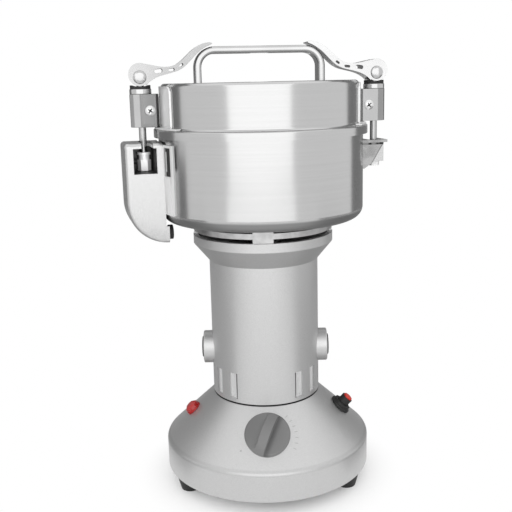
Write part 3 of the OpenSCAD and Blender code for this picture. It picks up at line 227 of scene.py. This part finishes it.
def makeTurnedMetal(name, look):
    finish = Finish(name, {"Specular IOR Level": plainGloss})
    x, y, z = finish.split(finish.place())
    radius = diagonal(x, y)
    along = finish.join(x * look["round"], y * look["round"], (z + radius) * look["lineScale"])
    lines = finish.noise("fine", 1.0, along)
    clouds = finish.noise("cloud", look["cloudScale"])
    colour, soft = look["colour"], look["soft"]
    skin = finish.blendColour(lines.ramp(*evenSplit), grey(colour * look["dark"]), grey(colour))
    # the lid's straps are satin, and their tongues, in the swing blocks' grooves, are painted black
    # as painted shade
    strap, tongue = [radius.ramp(out, out + soft) * z.ramp(up, up + soft)
                     for out, up in (look["strapFrom"], look["tongueFrom"])]
    # painted shade: the bowl's lower corner is darker in its colour, and rougher
    corner = z.ramp(*look["cornerTop"]) * radius.ramp(*look["cornerRadius"])
    skin = finish.blendColour(corner * (1 - look["cornerPaintedShade"]), skin, grey(0.0))
    skin = finish.blendColour(strap, skin, grey(look["strapColour"]))
    finish.feed("Base Color", finish.blendColour(tongue, skin, grey(look["tongueShadeColour"])))
    finish.feed("Metallic", 1 - strap * (1 - look["strapMetallic"]))
    rougher = strap * look["strapRougher"] + corner * look["cornerRougher"]
    finish.feedRoughness(rougher + look["roughness"],
                         (lines, look["lineSpread"]), (clouds, look["cloudSpread"]))
    finish.bump(lines, look["lineStrength"], look["lineDepth"])
    return finish.material


# Cast, pressed and bright metals: a fine random grain, a little darker in broad patches

grainedMetal = {
    "grain": 900.0, "grainDepth": 0.00002, "grainStrength": 0.2, "grainSpread": 0.1,
    "patchScale": 40.0, "patchSpread": 0.08, "patchShade": 0.92,
    "metallic": 1.0, "warm": 0.0, "lean": None, "cross": None,
}

# The swing blocks' screws have a cross cut in their heads: two bars through the head's middle, in
# the plane along the block and upright, with painted shade in the cut where a bar is nearer than
# half its width

screwCross = {
    "yaw": 9.0, "at": (0.0885, 0.31475), "head": 0.0041, "headColour": 0.74,
    "barWidth": 0.0010, "barReach": 0.0020, "barTurn": 35.0, "barShadeColour": 0.02, "soft": 0.00015,
}


def cutCross(finish, skin, look):
    x, y, z = finish.split(finish.place())
    turn, barTurn = math.radians(look["yaw"]), math.radians(look["barTurn"])
    along = (x * math.cos(turn) + y * math.sin(turn)).calc("ABSOLUTE") - look["at"][0]
    up = z - look["at"][1]
    away = diagonal(along, up)
    first = (along * math.cos(barTurn) + up * math.sin(barTurn)).calc("ABSOLUTE")
    second = (up * math.cos(barTurn) - along * math.sin(barTurn)).calc("ABSOLUTE")
    half, reach, soft = look["barWidth"] / 2, look["barReach"], look["soft"]
    bars = (first.calc("MINIMUM", second).ramp(half + soft, half - soft)
            * away.ramp(reach + soft, reach - soft))
    head = away.ramp(look["head"] + soft, look["head"])
    skin = finish.blendColour(head, skin, grey(look["headColour"]))
    return finish.blendColour(bars, skin, grey(look["barShadeColour"]))


def makeGrainedMetal(name, colour, roughness, **changes):
    look = {**grainedMetal, **changes}
    finish = Finish(name, {"Metallic": look["metallic"], "Specular IOR Level": plainGloss})
    grain = finish.noise("fine", look["grain"])
    patches = finish.noise("broad", look["patchScale"])
    skin = finish.blendColour(patches.ramp(*evenSplit),
                              grey(colour * look["patchShade"], look["warm"]),
                              grey(colour, look["warm"]))
    if look["cross"]:
        skin = cutCross(finish, skin, look["cross"])
    finish.feed("Base Color", skin)
    finish.feedRoughness(roughness, (grain, look["grainSpread"]), (patches, look["patchSpread"]))
    finish.bump(grain, look["grainStrength"], look["grainDepth"], look["lean"])
    return finish.material


# Plastics and rubbers: a dielectric with a moulded grain

moulded = {
    "grain": 1500.0, "grainDepth": 0.00003, "grainStrength": 0.3, "grainSpread": 0.12,
    "cloudScale": 60.0, "cloudShade": 0.88,
}


def feedMouldedGrain(finish, roughness):
    grain = finish.noise("fine", moulded["grain"])
    finish.feedRoughness(roughness, (grain, moulded["grainSpread"]))
    finish.bump(grain, moulded["grainStrength"], moulded["grainDepth"])


def makeMoulded(name, colour, roughness, coat=0.0):
    finish = Finish(name, {"Metallic": 0.0, "Specular IOR Level": plainGloss, "Coat Weight": coat})
    clouds = finish.noise("cloud", moulded["cloudScale"])
    darker = tuple(part * moulded["cloudShade"] for part in colour[:3]) + (1.0,)
    finish.feed("Base Color", finish.blendColour(clouds.ramp(*evenSplit), darker, colour))
    feedMouldedGrain(finish, roughness)
    return finish.material


# Pressed sheet steel: satin plated on the left hook, bare and darker in patches on the right one.
# The right one's plate is folded along a slanting line, from low to high, each given by distance
# out and height. Beyond the fold it is lighter, as painted light, and along the fold and in patches
# under its top it is darker, as painted shade

sheetSteelLook = {
    "left": {"colour": 0.80, "metallic": 0.35, "roughness": 0.42},
    "right": {"colour": 0.44, "metallic": 0.95, "roughness": 0.28},
    "grain": 500.0, "grainDepth": 0.00002, "grainStrength": 0.2, "grainSpread": 0.1,
    "patchScale": 90.0, "patchShade": 0.74, "patchSplit": (0.4, 0.6),
    # past the fold, painted light; along the fold and under the top, painted shade in the dark
    # colour
    "yaw": 15.0, "foldLow": (0.0915, 0.2684), "foldHigh": (0.1010, 0.2839),
    "foldWidth": 0.0006, "foldShade": 0.5, "beyond": 0.62, "beyondMetallic": 0.6,
    "shadowUnderTop": (0.2822, 0.2839), "shadowUnderPatches": (0.42, 0.56, 0.35, 1.0),
    "dark": 0.02, "soft": 0.0002,
}


def makeSheetSteel(name, look):
    finish = Finish(name, {"Specular IOR Level": plainGloss})
    x, y, z = finish.split(finish.place())
    right = x.ramp(-sideBlend, sideBlend)
    grain = finish.noise("fine", look["grain"])
    patches = finish.noise("broad", look["patchScale"])
    satin, bare = look["left"], look["right"]
    patchy = finish.blendColour(patches.ramp(*look["patchSplit"]),
                                grey(bare["colour"] * look["patchShade"]), grey(bare["colour"]))
    skin = finish.blendColour(right, grey(satin["colour"]), patchy)
    turn = math.radians(look["yaw"])
    out = x * math.cos(turn) + y * math.sin(turn)
    (lowOut, lowUp), (highOut, highUp) = look["foldLow"], look["foldHigh"]
    past = out - lowOut - (z - lowUp) * ((highOut - lowOut) / (highUp - lowUp))
    width, soft = look["foldWidth"], look["soft"]
    plate = z.ramp(highUp, highUp - soft) * right
    beyond = past.ramp(0.0, width) * plate
    fold = between(past, -width, width / 2, soft) * plate
    under = between(z, *look["shadowUnderTop"], soft) * right * patches.ramp(*look["shadowUnderPatches"])
    # painted light past the fold, painted shadow under the top and painted shade along the fold
    skin = finish.blendColour(beyond, skin, grey(look["beyond"]))
    skin = finish.blendColour(under.calc("MAXIMUM", fold * look["foldShade"]), skin,
                              grey(look["dark"]))
    finish.feed("Base Color", skin)
    finish.feed("Metallic", right.ramp(0.0, 1.0, satin["metallic"], bare["metallic"])
                - beyond * (bare["metallic"] - look["beyondMetallic"]))
    finish.feedRoughness(right.ramp(0.0, 1.0, satin["roughness"], bare["roughness"]),
                         (grain, look["grainSpread"]))
    finish.bump(grain, look["grainStrength"], look["grainDepth"])
    return finish.material


# The dial lies in the plane of the cone, which leans back from the upright. Its middle is given by
# its distance to the front and its height

dialPlane = {"front": 0.0643, "up": 0.0570, "angle": 42.95}


def alongCone(y, z):
    # distance up the cone's slope from the dial's middle
    angle = math.radians(dialPlane["angle"])
    return (y + dialPlane["front"]) * math.cos(angle) + (z - dialPlane["up"]) * math.sin(angle)


# The knob's grey plastic, with painted shade in the deep crease beside its grip and towards its
# left. The grip leans by "lean" in the dial's plane, and the other places are measured across from
# its middle line, to the right

knobLook = {
    "colour": 0.19, "roughness": 0.5, "lean": 22.0,
    "creaseStart": (0.0030, 0.0038), "creaseFade": (0.0095, 0.0042), "creasePaintedShade": 0.45,
    "leftFade": (-0.003, -0.018), "leftPaintedShade": 0.80,
}


def makeKnobPlastic(name, look):
    finish = Finish(name, {"Metallic": 0.0, "Specular IOR Level": plainGloss})
    x, y, z = finish.split(finish.place())
    lean = math.radians(look["lean"])
    across = x * math.cos(lean) - alongCone(y, z) * math.sin(lean)
    # painted shade: darker in the crease beside the grip and towards the left
    crease = across.ramp(*look["creaseFade"]) * across.ramp(*look["creaseStart"])
    left = across.ramp(*look["leftFade"])
    light = (1 - crease * (1 - look["creasePaintedShade"])) * (1 - left * (1 - look["leftPaintedShade"]))
    finish.feed("Base Color", finish.blendColour(light, grey(0.0), grey(look["colour"])))
    feedMouldedGrain(finish, look["roughness"])
    return finish.material


# Silver lacquer on the base and column, and the switch housing's silver plastic, both with flakes.
# The air slots' floors are lighter, as painted light, the groove at the column's foot is black, as
# painted shade, and the flare and the base's shoulder are a little darker, as painted shade

silverFlakes = {
    "dark": 0.9, "light": 1.08, "split": (0.35, 0.65), "spread": 0.12,
    "strength": 0.15, "depth": 0.00003,
    "cloudScale": 25.0, "cloudSpread": 0.05,
}
silverPaintLook = {
    "colour": 0.57, "roughness": 0.395, "flake": 2600.0, "metallic": 0.80,
    "slotRadius": (0.0443, 0.0436), "slotFoot": (0.0775, 0.0785), "slotTop": (0.102, 0.1015),
    "slotFloorLight": 0.80,
    "grooveRadius": (0.0452, 0.0449), "groove": (0.0743, 0.0761), "grooveSoft": 0.0001,
    "grooveShadeColour": 0.02,
    "flare": (0.1912, 0.2062), "flareSoft": 0.0003, "flareShade": 0.80,
    "shoulder": (0.0335, 0.0378), "shoulderSoft": 0.0006, "shoulderRadius": (0.083, 0.084),
    "shoulderShade": 0.91,
}
silverPlasticLook = {"colour": 0.56, "roughness": 0.265, "flake": 3400.0, "metallic": 0.85,
                     "insideShadeColour": 0.01, "insideSplit": (0.4, 0.6)}

# The dial is printed round the knob: marks at even angles between two ends, and one dot

dial = {
    "ink": 0.40, "marks": (0.0224, 0.0250), "step": 12.0, "width": 0.0006,
    "ends": (-0.55, 0.95), "endSoft": 0.02,
    "dot": (-0.0215, -0.0105), "dotRadius": 0.0008, "soft": 0.0002,
    "front": (-0.03, -0.035), "top": (0.075, 0.0745),      # ink only in front and below the top
}


def silverSkin(finish, look):
    flakes, colour = silverFlakes, look["colour"]
    flake = finish.noise("flake", look["flake"])
    clouds = finish.noise("cloud", flakes["cloudScale"])
    finish.feedRoughness(look["roughness"], (flake, flakes["spread"]),
                         (clouds, flakes["cloudSpread"]))
    finish.bump(flake, flakes["strength"], flakes["depth"])
    return finish.blendColour(flake.ramp(*flakes["split"]), grey(colour * flakes["dark"]),
                              grey(colour * flakes["light"]))


def dialInk(look, x, y, z):
    # a mark is where the angle round the knob is near a whole number of steps
    up = alongCone(y, z)
    away = diagonal(x, up)
    turn = up.calc("ARCTAN2", x)
    step, half, soft = math.radians(look["step"]), look["width"] / 2, look["soft"]
    across = (turn / step).calc("PINGPONG", 0.5) * step * away
    marks = (between(away, *look["marks"], soft) * between(turn, *look["ends"], look["endSoft"])
             * across.ramp(half + soft, half - soft))
    toDot = diagonal(x - look["dot"][0], up - look["dot"][1])
    dot = toDot.ramp(look["dotRadius"] + soft, look["dotRadius"] - soft)
    return marks.calc("MAXIMUM", dot) * y.ramp(*look["front"]) * z.ramp(*look["top"])


def makeSilverPaint(name, look):
    finish = Finish(name, {"Metallic": look["metallic"], "Specular IOR Level": plainGloss})
    skin = silverSkin(finish, look)
    x, y, z = finish.split(finish.place())
    radius = diagonal(x, y)
    slotFloorLight = (radius.ramp(*look["slotRadius"]) * z.ramp(*look["slotTop"])
                 * z.ramp(*look["slotFoot"]))
    groove = radius.ramp(*look["grooveRadius"]) * between(z, *look["groove"], look["grooveSoft"])
    flare = between(z, *look["flare"], look["flareSoft"])
    shoulder = (between(z, *look["shoulder"], look["shoulderSoft"])
                * radius.ramp(*look["shoulderRadius"]))
    # painted shade on the flare, the shoulder and in the groove; painted light on the slots'
    # floors; the dial is print
    for mask, colour in ((flare * (1 - look["flareShade"]), 0.0),
                         (shoulder * (1 - look["shoulderShade"]), 0.0),
                         (groove, look["grooveShadeColour"]),
                         (slotFloorLight, look["slotFloorLight"]),
                         (dialInk(dial, x, y, z), dial["ink"])):
        skin = finish.blendColour(mask, skin, grey(colour))
    finish.feed("Base Color", skin)
    return finish.material


def makeSilverPlastic(name, look):
    # inside the shell the plastic is painted black, as painted shade in the dark pocket
    finish = Finish(name, {"Specular IOR Level": plainGloss})
    skin = silverSkin(finish, look)
    inside = finish.add("ShaderNodeAttribute", {"attribute_name": "inside"}, output=2)
    finish.feed("Base Color", finish.blendColour(inside, skin, grey(look["insideShadeColour"])))
    finish.feed("Metallic", inside.ramp(*look["insideSplit"], look["metallic"], 0.0))
    return finish.material


finishes = {
    "silver_paint": makeSilverPaint("silverPaint", silverPaintLook),
    "cast_alloy": makeGrainedMetal("castAlloy", 0.56, 0.40, patchShade=0.78, patchScale=160.0),
    "swing_alloy": makeGrainedMetal("swingAlloy", 0.33, 0.13, lean=(20.0, -4.0)),
    "brushed_steel": makeTurnedMetal("turnedSteel", turnedSteel),
    "sheet_steel": makeSheetSteel("sheetSteel", sheetSteelLook),
    "polished_steel": makeGrainedMetal("polishedSteel", 0.54, 0.14, grainDepth=0.00001),
    "cast_chrome": makeGrainedMetal("castChrome", 0.60, 0.26, metallic=0.85, lean=(14.0, -3.0)),
    "bright_steel": makeGrainedMetal("brightSteel", 0.46, 0.26, cross=screwCross),
    "plated_steel": makeGrainedMetal("platedSteel", 0.85, 0.40, metallic=0.3),
    "blade_steel": makeGrainedMetal("bladeSteel", 0.50, 0.24),
    "silver_plastic": makeSilverPlastic("silverPlastic", silverPlasticLook),
    "black_plastic": makeMoulded("blackPlastic", grey(0.012), 0.55),
    "grey_plastic": makeKnobPlastic("greyPlastic", knobLook),
    "cream_plastic": makeMoulded("creamPlastic", grey(0.62, 0.05), 0.5),
    "red_lens": makeMoulded("redLens", (0.42, 0.006, 0.006, 1), 0.22, coat=0.2),
    "red_plastic": makeMoulded("redPlastic", (0.62, 0.03, 0.015, 1), 0.3),
    "black_rubber": makeMoulded("blackRubber", grey(0.014), 0.62),
    "silicone": makeMoulded("silicone", grey(0.72), 0.5),
    "brass": makeGrainedMetal("brass", 0.6, 0.3, warm=0.3),
    "copper": makeGrainedMetal("copper", 0.5, 0.35, warm=0.45),
    "carbon": makeMoulded("carbon", grey(0.03), 0.6),
    "motor_iron": makeGrainedMetal("motorIron", 0.25, 0.5),
}
slotOf = {part["node"]: part["material_slot"] for part in frame["record"]["subparts"]}
for node, thing in nodes.items():
    thing.data.materials.clear()
    thing.data.materials.append(finishes[slotOf[node]])
print("finishes made:", len(finishes))


# Pieces with the broken edges of the real ones stand for the sharp solids. Widths are in mm

bevels = {
    "left_cam_lever": 1.3, "right_cam_lever": 1.3,
    "left_swing_block": 0.7, "right_swing_block": 0.7,
    "left_hook": 0.5, "right_hook": 0.5, "left_lid_bracket": 0.45, "right_lid_bracket": 0.45,
    "left_rod_nut": 0.5, "right_rod_nut": 0.5, "seat_rings": 0.5, "cam_seats": 0.4,
    "breaker_nut": 0.5, "brush_caps": 0.4, "upper_bearing_bracket": 0.5, "timer_knob": 0.5,
    "bottom_plate": 0.4, "cord_gland": 0.5, "cable_grommet": 0.4,
}
bevelLook = {"segments": 3, "sharpFrom": 35.0, "evenWeight": 100}
mergeDistance = 0.00001      # metres
flatAngle = 0.6              # degrees between faces that count as flat
bodyOf = {node: body for body, members in frame["record"]["behaviour"]["bodies"].items()
          for node in members}


def mergedCopy(node, name, triangles=False):
    # the node's loose triangles merged, and flat regions made one face
    mesh = nodes[node].data.copy()
    mesh.name = name
    work = bmesh.new()
    work.from_mesh(mesh)
    bmesh.ops.remove_doubles(work, verts=work.verts, dist=mergeDistance)
    bmesh.ops.dissolve_limit(work, angle_limit=math.radians(flatAngle), verts=work.verts,
                             edges=work.edges)
    if triangles:
        bmesh.ops.triangulate(work, faces=work.faces)
    work.to_mesh(mesh)
    work.free()
    mesh.polygons.foreach_set("use_smooth", np.ones(len(mesh.polygons), dtype=bool))
    return mesh


def standFor(node, mesh):
    piece = bpy.data.objects.new(mesh.name, mesh)
    bpy.context.scene.collection.objects.link(piece)
    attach(piece, bodyOf[node])
    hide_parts(node)
    return piece


def soften(node, width, look):
    piece = standFor(node, mergedCopy(node, node + "Soft"))
    edge = piece.modifiers.new("edge", "BEVEL")
    edge.width = width * mm
    edge.segments = look["segments"]
    edge.limit_method = "ANGLE"
    edge.angle_limit = math.radians(look["sharpFrom"])
    even = piece.modifiers.new("even", "WEIGHTED_NORMAL")
    even.weight = look["evenWeight"]
    # mirrored, the knob would leave soft dark patches in the lacquer round it
    piece.visible_glossy = node != "timer_knob"


for node, width in bevels.items():
    soften(node, width, bevelLook)
print("edges broken:", len(bevels))


# The switch housing's outer edge is a quarter round, carried round its outline. The solid has it in
# steps, so each step's inner corner is brought out to the round: its distance in from the front or
# rear face goes to edge * (1 - sin(angle)) where its distance in from the outline is
# edge * (1 - cos(angle)). Lengths are in mm

housing = {
    "yaw": 15.0, "edge": 4.0, "steps": 5, "corner": 3.0,
    "reach": 112.578, "top": 291.0, "height": 79.5, "curve": 32.0,
    "front": -16.5, "rear": 17.862,
    "insideFrom": 1.5,      # depth past which a face counts as inside the shell
    "match": 0.02,          # how near a step's height a corner is
    "sharpFrom": 32.0,
}


def insetOf(out, up, look):
    # distance in from the outline: two straight sides, a small corner above and a large curve below
    side, head = look["reach"] - out, look["top"] - up
    p, q = side - look["corner"], head - look["corner"]
    apart = np.clip(2 * look["corner"] ** 2 - (p - q) ** 2, 0, None)
    nearCorner = ((p + q) + np.sqrt(apart)) / 2
    straight = np.where(np.abs(p - q) < look["corner"], nearCorner, np.minimum(side, head))
    middleOut = look["reach"] - look["curve"]
    middleUp = look["top"] - look["height"] + look["curve"]
    curve = look["curve"] - np.hypot(out - middleOut, up - middleUp)
    curve = np.where(out < middleOut, up - (look["top"] - look["height"]), curve)
    return np.where(up < middleUp, np.minimum(curve, straight), straight)


def makeHousing(look):
    mesh = mergedCopy("switch_housing", "switchHousingRound", triangles=True)
    places = np.empty(len(mesh.vertices) * 3)
    mesh.vertices.foreach_get("co", places)
    places = places.reshape(-1, 3) / mm
    turn = math.radians(look["yaw"])
    out = -(places[:, 0] * math.cos(turn) + places[:, 1] * math.sin(turn))
    along = -places[:, 0] * math.sin(turn) + places[:, 1] * math.cos(turn)
    up = places[:, 2]
    inset = insetOf(out, up, look)
    angle = np.arange(look["steps"] + 1) * math.pi / 2 / look["steps"]
    insets = look["edge"] * (1 - np.cos(angle))
    reaches = look["edge"] * (1 - np.sin(angle))
    atFront = along - look["front"] < look["rear"] - along
    reach = np.where(atFront, along - look["front"], look["rear"] - along)
    moved = reach.copy()
    for i in range(look["steps"] - 1):
        onStep = np.abs(reach - reaches[i]) < look["match"]
        inner = np.abs(inset - insets[i + 1]) < np.abs(inset - insets[i])
        moved = np.where(onStep & inner, reaches[i + 1], moved)
    along = np.where(atFront, look["front"] + moved, look["rear"] - moved)
    places[:, 0] = -out * math.cos(turn) - along * math.sin(turn)
    places[:, 1] = -out * math.sin(turn) + along * math.cos(turn)
    mesh.vertices.foreach_set("co", (places * mm).ravel())
    corners = np.empty(len(mesh.loops), dtype=np.int32)
    mesh.loops.foreach_get("vertex_index", corners)
    corners = corners.reshape(-1, 3)
    deep = np.minimum(inset[corners].mean(axis=1), moved[corners].mean(axis=1))
    inside = mesh.attributes.new("inside", "FLOAT", "FACE")
    inside.data.foreach_set("value", (deep > look["insideFrom"]).astype(np.float32))
    mesh.update()
    sharp = math.radians(look["sharpFrom"])
    work = bmesh.new()
    work.from_mesh(mesh)
    bmesh.ops.remove_doubles(work, verts=work.verts, dist=mergeDistance)
    bmesh.ops.dissolve_degenerate(work, edges=work.edges, dist=mergeDistance)
    for side in work.edges:
        side.smooth = len(side.link_faces) == 2 and side.calc_face_angle(0) < sharp
    work.to_mesh(mesh)
    work.free()
    piece = standFor("switch_housing", mesh)
    even = piece.modifiers.new("even", "WEIGHTED_NORMAL")
    even.keep_sharp = True


makeHousing(housing)
print("housing rounded")


# Small plates that lie on the bowl's wall in the left hook's window: a black pad, as painted shade
# in the dark pocket, and a light steel clip. Each is a grid of points at one radius, even in
# azimuth and height. az is in degrees from the left side towards the front, and lengths are in mm

bowlRadius = 83.0
windowPlates = {
    "windowShadePad": {"az": (27.0, 35.0), "up": (262.6, 287.6), "lift": 0.25, "thick": 0.2,
                  "steps": 9, "node": "left_hook", "slot": "black_plastic"},
    "windowClip": {"az": (28.2, 29.1), "up": (268.5, 284.0), "lift": 0.65, "thick": 0.2,
                   "steps": 9, "node": "left_hook", "slot": "sheet_steel"},
}


def stripFaces(steps):
    # the faces between two rows of as many points
    return [(i, i + 1, steps + i + 1, steps + i) for i in range(steps - 1)]


def makeWindowPlate(name, look):
    steps = look["steps"]
    turn = np.radians(np.linspace(*look["az"], steps))
    radius = bowlRadius + look["lift"]
    rows = [np.column_stack((-radius * np.cos(turn), -radius * np.sin(turn), np.full(steps, up)))
            for up in look["up"]]
    mesh = bpy.data.meshes.new(name)
    mesh.from_pydata((np.vstack(rows) * mm).tolist(), [], stripFaces(steps))
    plate = bpy.data.objects.new(name, mesh)
    bpy.context.scene.collection.objects.link(plate)
    wall = plate.modifiers.new("wall", "SOLIDIFY")
    wall.thickness = look["thick"] * mm
    wall.offset = -1
    mesh.materials.append(finishes[look["slot"]])
    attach(plate, bodyOf[look["node"]])


for name, look in windowPlates.items():
    makeWindowPlate(name, look)
print("hook window filled")


# Studio: a white floor and a white world. Seen or mirrored, the world is plain white, and the
# light that it gives is a little lower

studio = {
    "worldLevel": 0.85, "seenLevel": 1.0,
    "floorRadius": 3.0, "floorSteps": 96, "floorWhite": 0.93, "floorRoughness": 0.9,
    "fade": (0.06, 0.118),      # radii between which the seen floor turns to pure white
}
seenRays = ("Is Camera Ray", "Is Glossy Ray", "Is Transmission Ray")


def makeWorld(look):
    world = bpy.data.worlds.new("studio")
    bpy.context.scene.world = world
    world.use_nodes = True
    tree = world.node_tree
    tree.nodes.clear()
    out = tree.nodes.new("ShaderNodeOutputWorld")
    mix = tree.nodes.new("ShaderNodeMixShader")
    path = tree.nodes.new("ShaderNodeLightPath")
    total = path.outputs[seenRays[0]]
    for ray in seenRays[1:]:
        both = tree.nodes.new("ShaderNodeMath")
        both.operation = "MAXIMUM"
        tree.links.new(total, both.inputs[0])
        tree.links.new(path.outputs[ray], both.inputs[1])
        total = both.outputs[0]
    tree.links.new(total, mix.inputs[0])
    for slot, level in ((1, look["worldLevel"]), (2, look["seenLevel"])):
        sky = tree.nodes.new("ShaderNodeBackground")
        sky.inputs["Color"].default_value = grey(1.0)
        sky.inputs["Strength"].default_value = level
        tree.links.new(sky.outputs[0], mix.inputs[slot])
    tree.links.new(mix.outputs[0], out.inputs[0])


def makeFloor(look):
    # flat disc, its rim in equal angle steps about the machine's axis
    steps = look["floorSteps"]
    angle = np.linspace(0, 2 * np.pi, steps, endpoint=False)
    points = np.column_stack((np.cos(angle), np.sin(angle), np.zeros(steps))) * look["floorRadius"]
    mesh = bpy.data.meshes.new("floor")
    mesh.from_pydata(points.tolist(), [], [list(range(steps))])
    floor = bpy.data.objects.new("floor", mesh)
    bpy.context.scene.collection.objects.link(floor)
    finish = Finish("floorPaper", {"Base Color": grey(look["floorWhite"]),
                                   "Roughness": look["floorRoughness"]})
    x, y, z = finish.split(finish.place())
    far = diagonal(x, y).ramp(*look["fade"])
    camera, glossy, passing = [finish.add("ShaderNodeLightPath", output=ray) for ray in seenRays]
    seen = camera.calc("MAXIMUM", glossy).calc("MAXIMUM", passing)
    glow = finish.add("ShaderNodeEmission", inputs={
        "Color": grey(1.0), "Strength": look["seenLevel"]})
    mixed = finish.add("ShaderNodeMixShader", inputs=(
        far * seen, Wire(finish, finish.shader.outputs[0]), glow))
    finish.tree.links.new(mixed.socket, finish.output.inputs["Surface"])
    mesh.materials.append(finish.material)


# Cards that only bright metal mirrors: the front light's glow on the table, dark ones behind and
# beside it. A card is a strip of a cone between a low and a high edge, each given by radius and
# height. It spreads by half to each side of az, in degrees from the front

cards = {
    "glow": {"az": -1, "half": 37, "low": (1.08, 0.002), "high": (1.75, 0.002), "level": 1.72},
    "backLeft": {"az": -139, "half": 40, "low": (1.1, 0.01), "high": (1.0, 1.25), "level": 0.24},
    "lowLeft": {"az": -94, "half": 6, "low": (1.1, 0.01), "high": (1.08, 0.19), "level": 0.24},
    "backRight": {"az": 147, "half": 32, "low": (1.1, 0.01), "high": (1.0, 1.25), "level": 0.26},
    "tableLeft": {"az": -121, "half": 58, "low": (0.12, 0.002), "high": (1.1, 0.002),
                  "level": 0.40},
    "tableRight": {"az": 121, "half": 58, "low": (0.12, 0.002), "high": (1.1, 0.002),
                   "level": 0.40},
}
cardSteps = 24


def makeCard(name, look):
    turn = np.radians(np.linspace(look["az"] - look["half"], look["az"] + look["half"], cardSteps))
    edges = [np.column_stack((radius * np.sin(turn), -radius * np.cos(turn),
                              np.full(cardSteps, height)))
             for radius, height in (look["low"], look["high"])]
    mesh = bpy.data.meshes.new(name)
    mesh.from_pydata(np.vstack(edges).tolist(), [], stripFaces(cardSteps))
    card = bpy.data.objects.new(name, mesh)
    bpy.context.scene.collection.objects.link(card)
    card.visible_camera = card.visible_shadow = card.visible_diffuse = False
    finish = Finish(name, {})
    glow = finish.add("ShaderNodeEmission", inputs={"Color": grey(1.0), "Strength": look["level"]})
    finish.tree.links.new(glow.socket, finish.output.inputs["Surface"])
    mesh.materials.append(finish.material)


# Two area lamps light the whole, and a tiny one lights the left nut in its dark pocket

lampAim = (0, 0, 0.2)
lamps = {
    "front": {"at": (-0.02, -1.6, 0.72), "size": (2.45, 1.5), "power": 9.4},
    "top": {"at": (0.0, -0.15, 1.9), "size": (3.8, 1.8), "power": 5.0},
    "pocket": {"at": (-0.0885, -0.0361, 0.279), "size": (0.008, 0.008), "power": 0.0024,
               "aim": (-0.0941, -0.0149, 0.272), "seen": False},
}


def makeLamp(name, look):
    data = bpy.data.lights.new(name, "AREA")
    data.shape = "RECTANGLE"
    data.size, data.size_y = look["size"]
    data.energy = look["power"]
    lamp = bpy.data.objects.new(name, data)
    lamp.location = look["at"]
    aim = Vector(look.get("aim", lampAim))
    lamp.rotation_euler = (aim - lamp.location).to_track_quat("-Z", "Y").to_euler()
    lamp.visible_camera = lamp.visible_glossy = look.get("seen", True)
    bpy.context.scene.collection.objects.link(lamp)


for name, look in cards.items():
    makeCard(name, look)
makeWorld(studio)
makeFloor(studio)
for name, look in lamps.items():
    makeLamp(name, look)
print("studio lit")
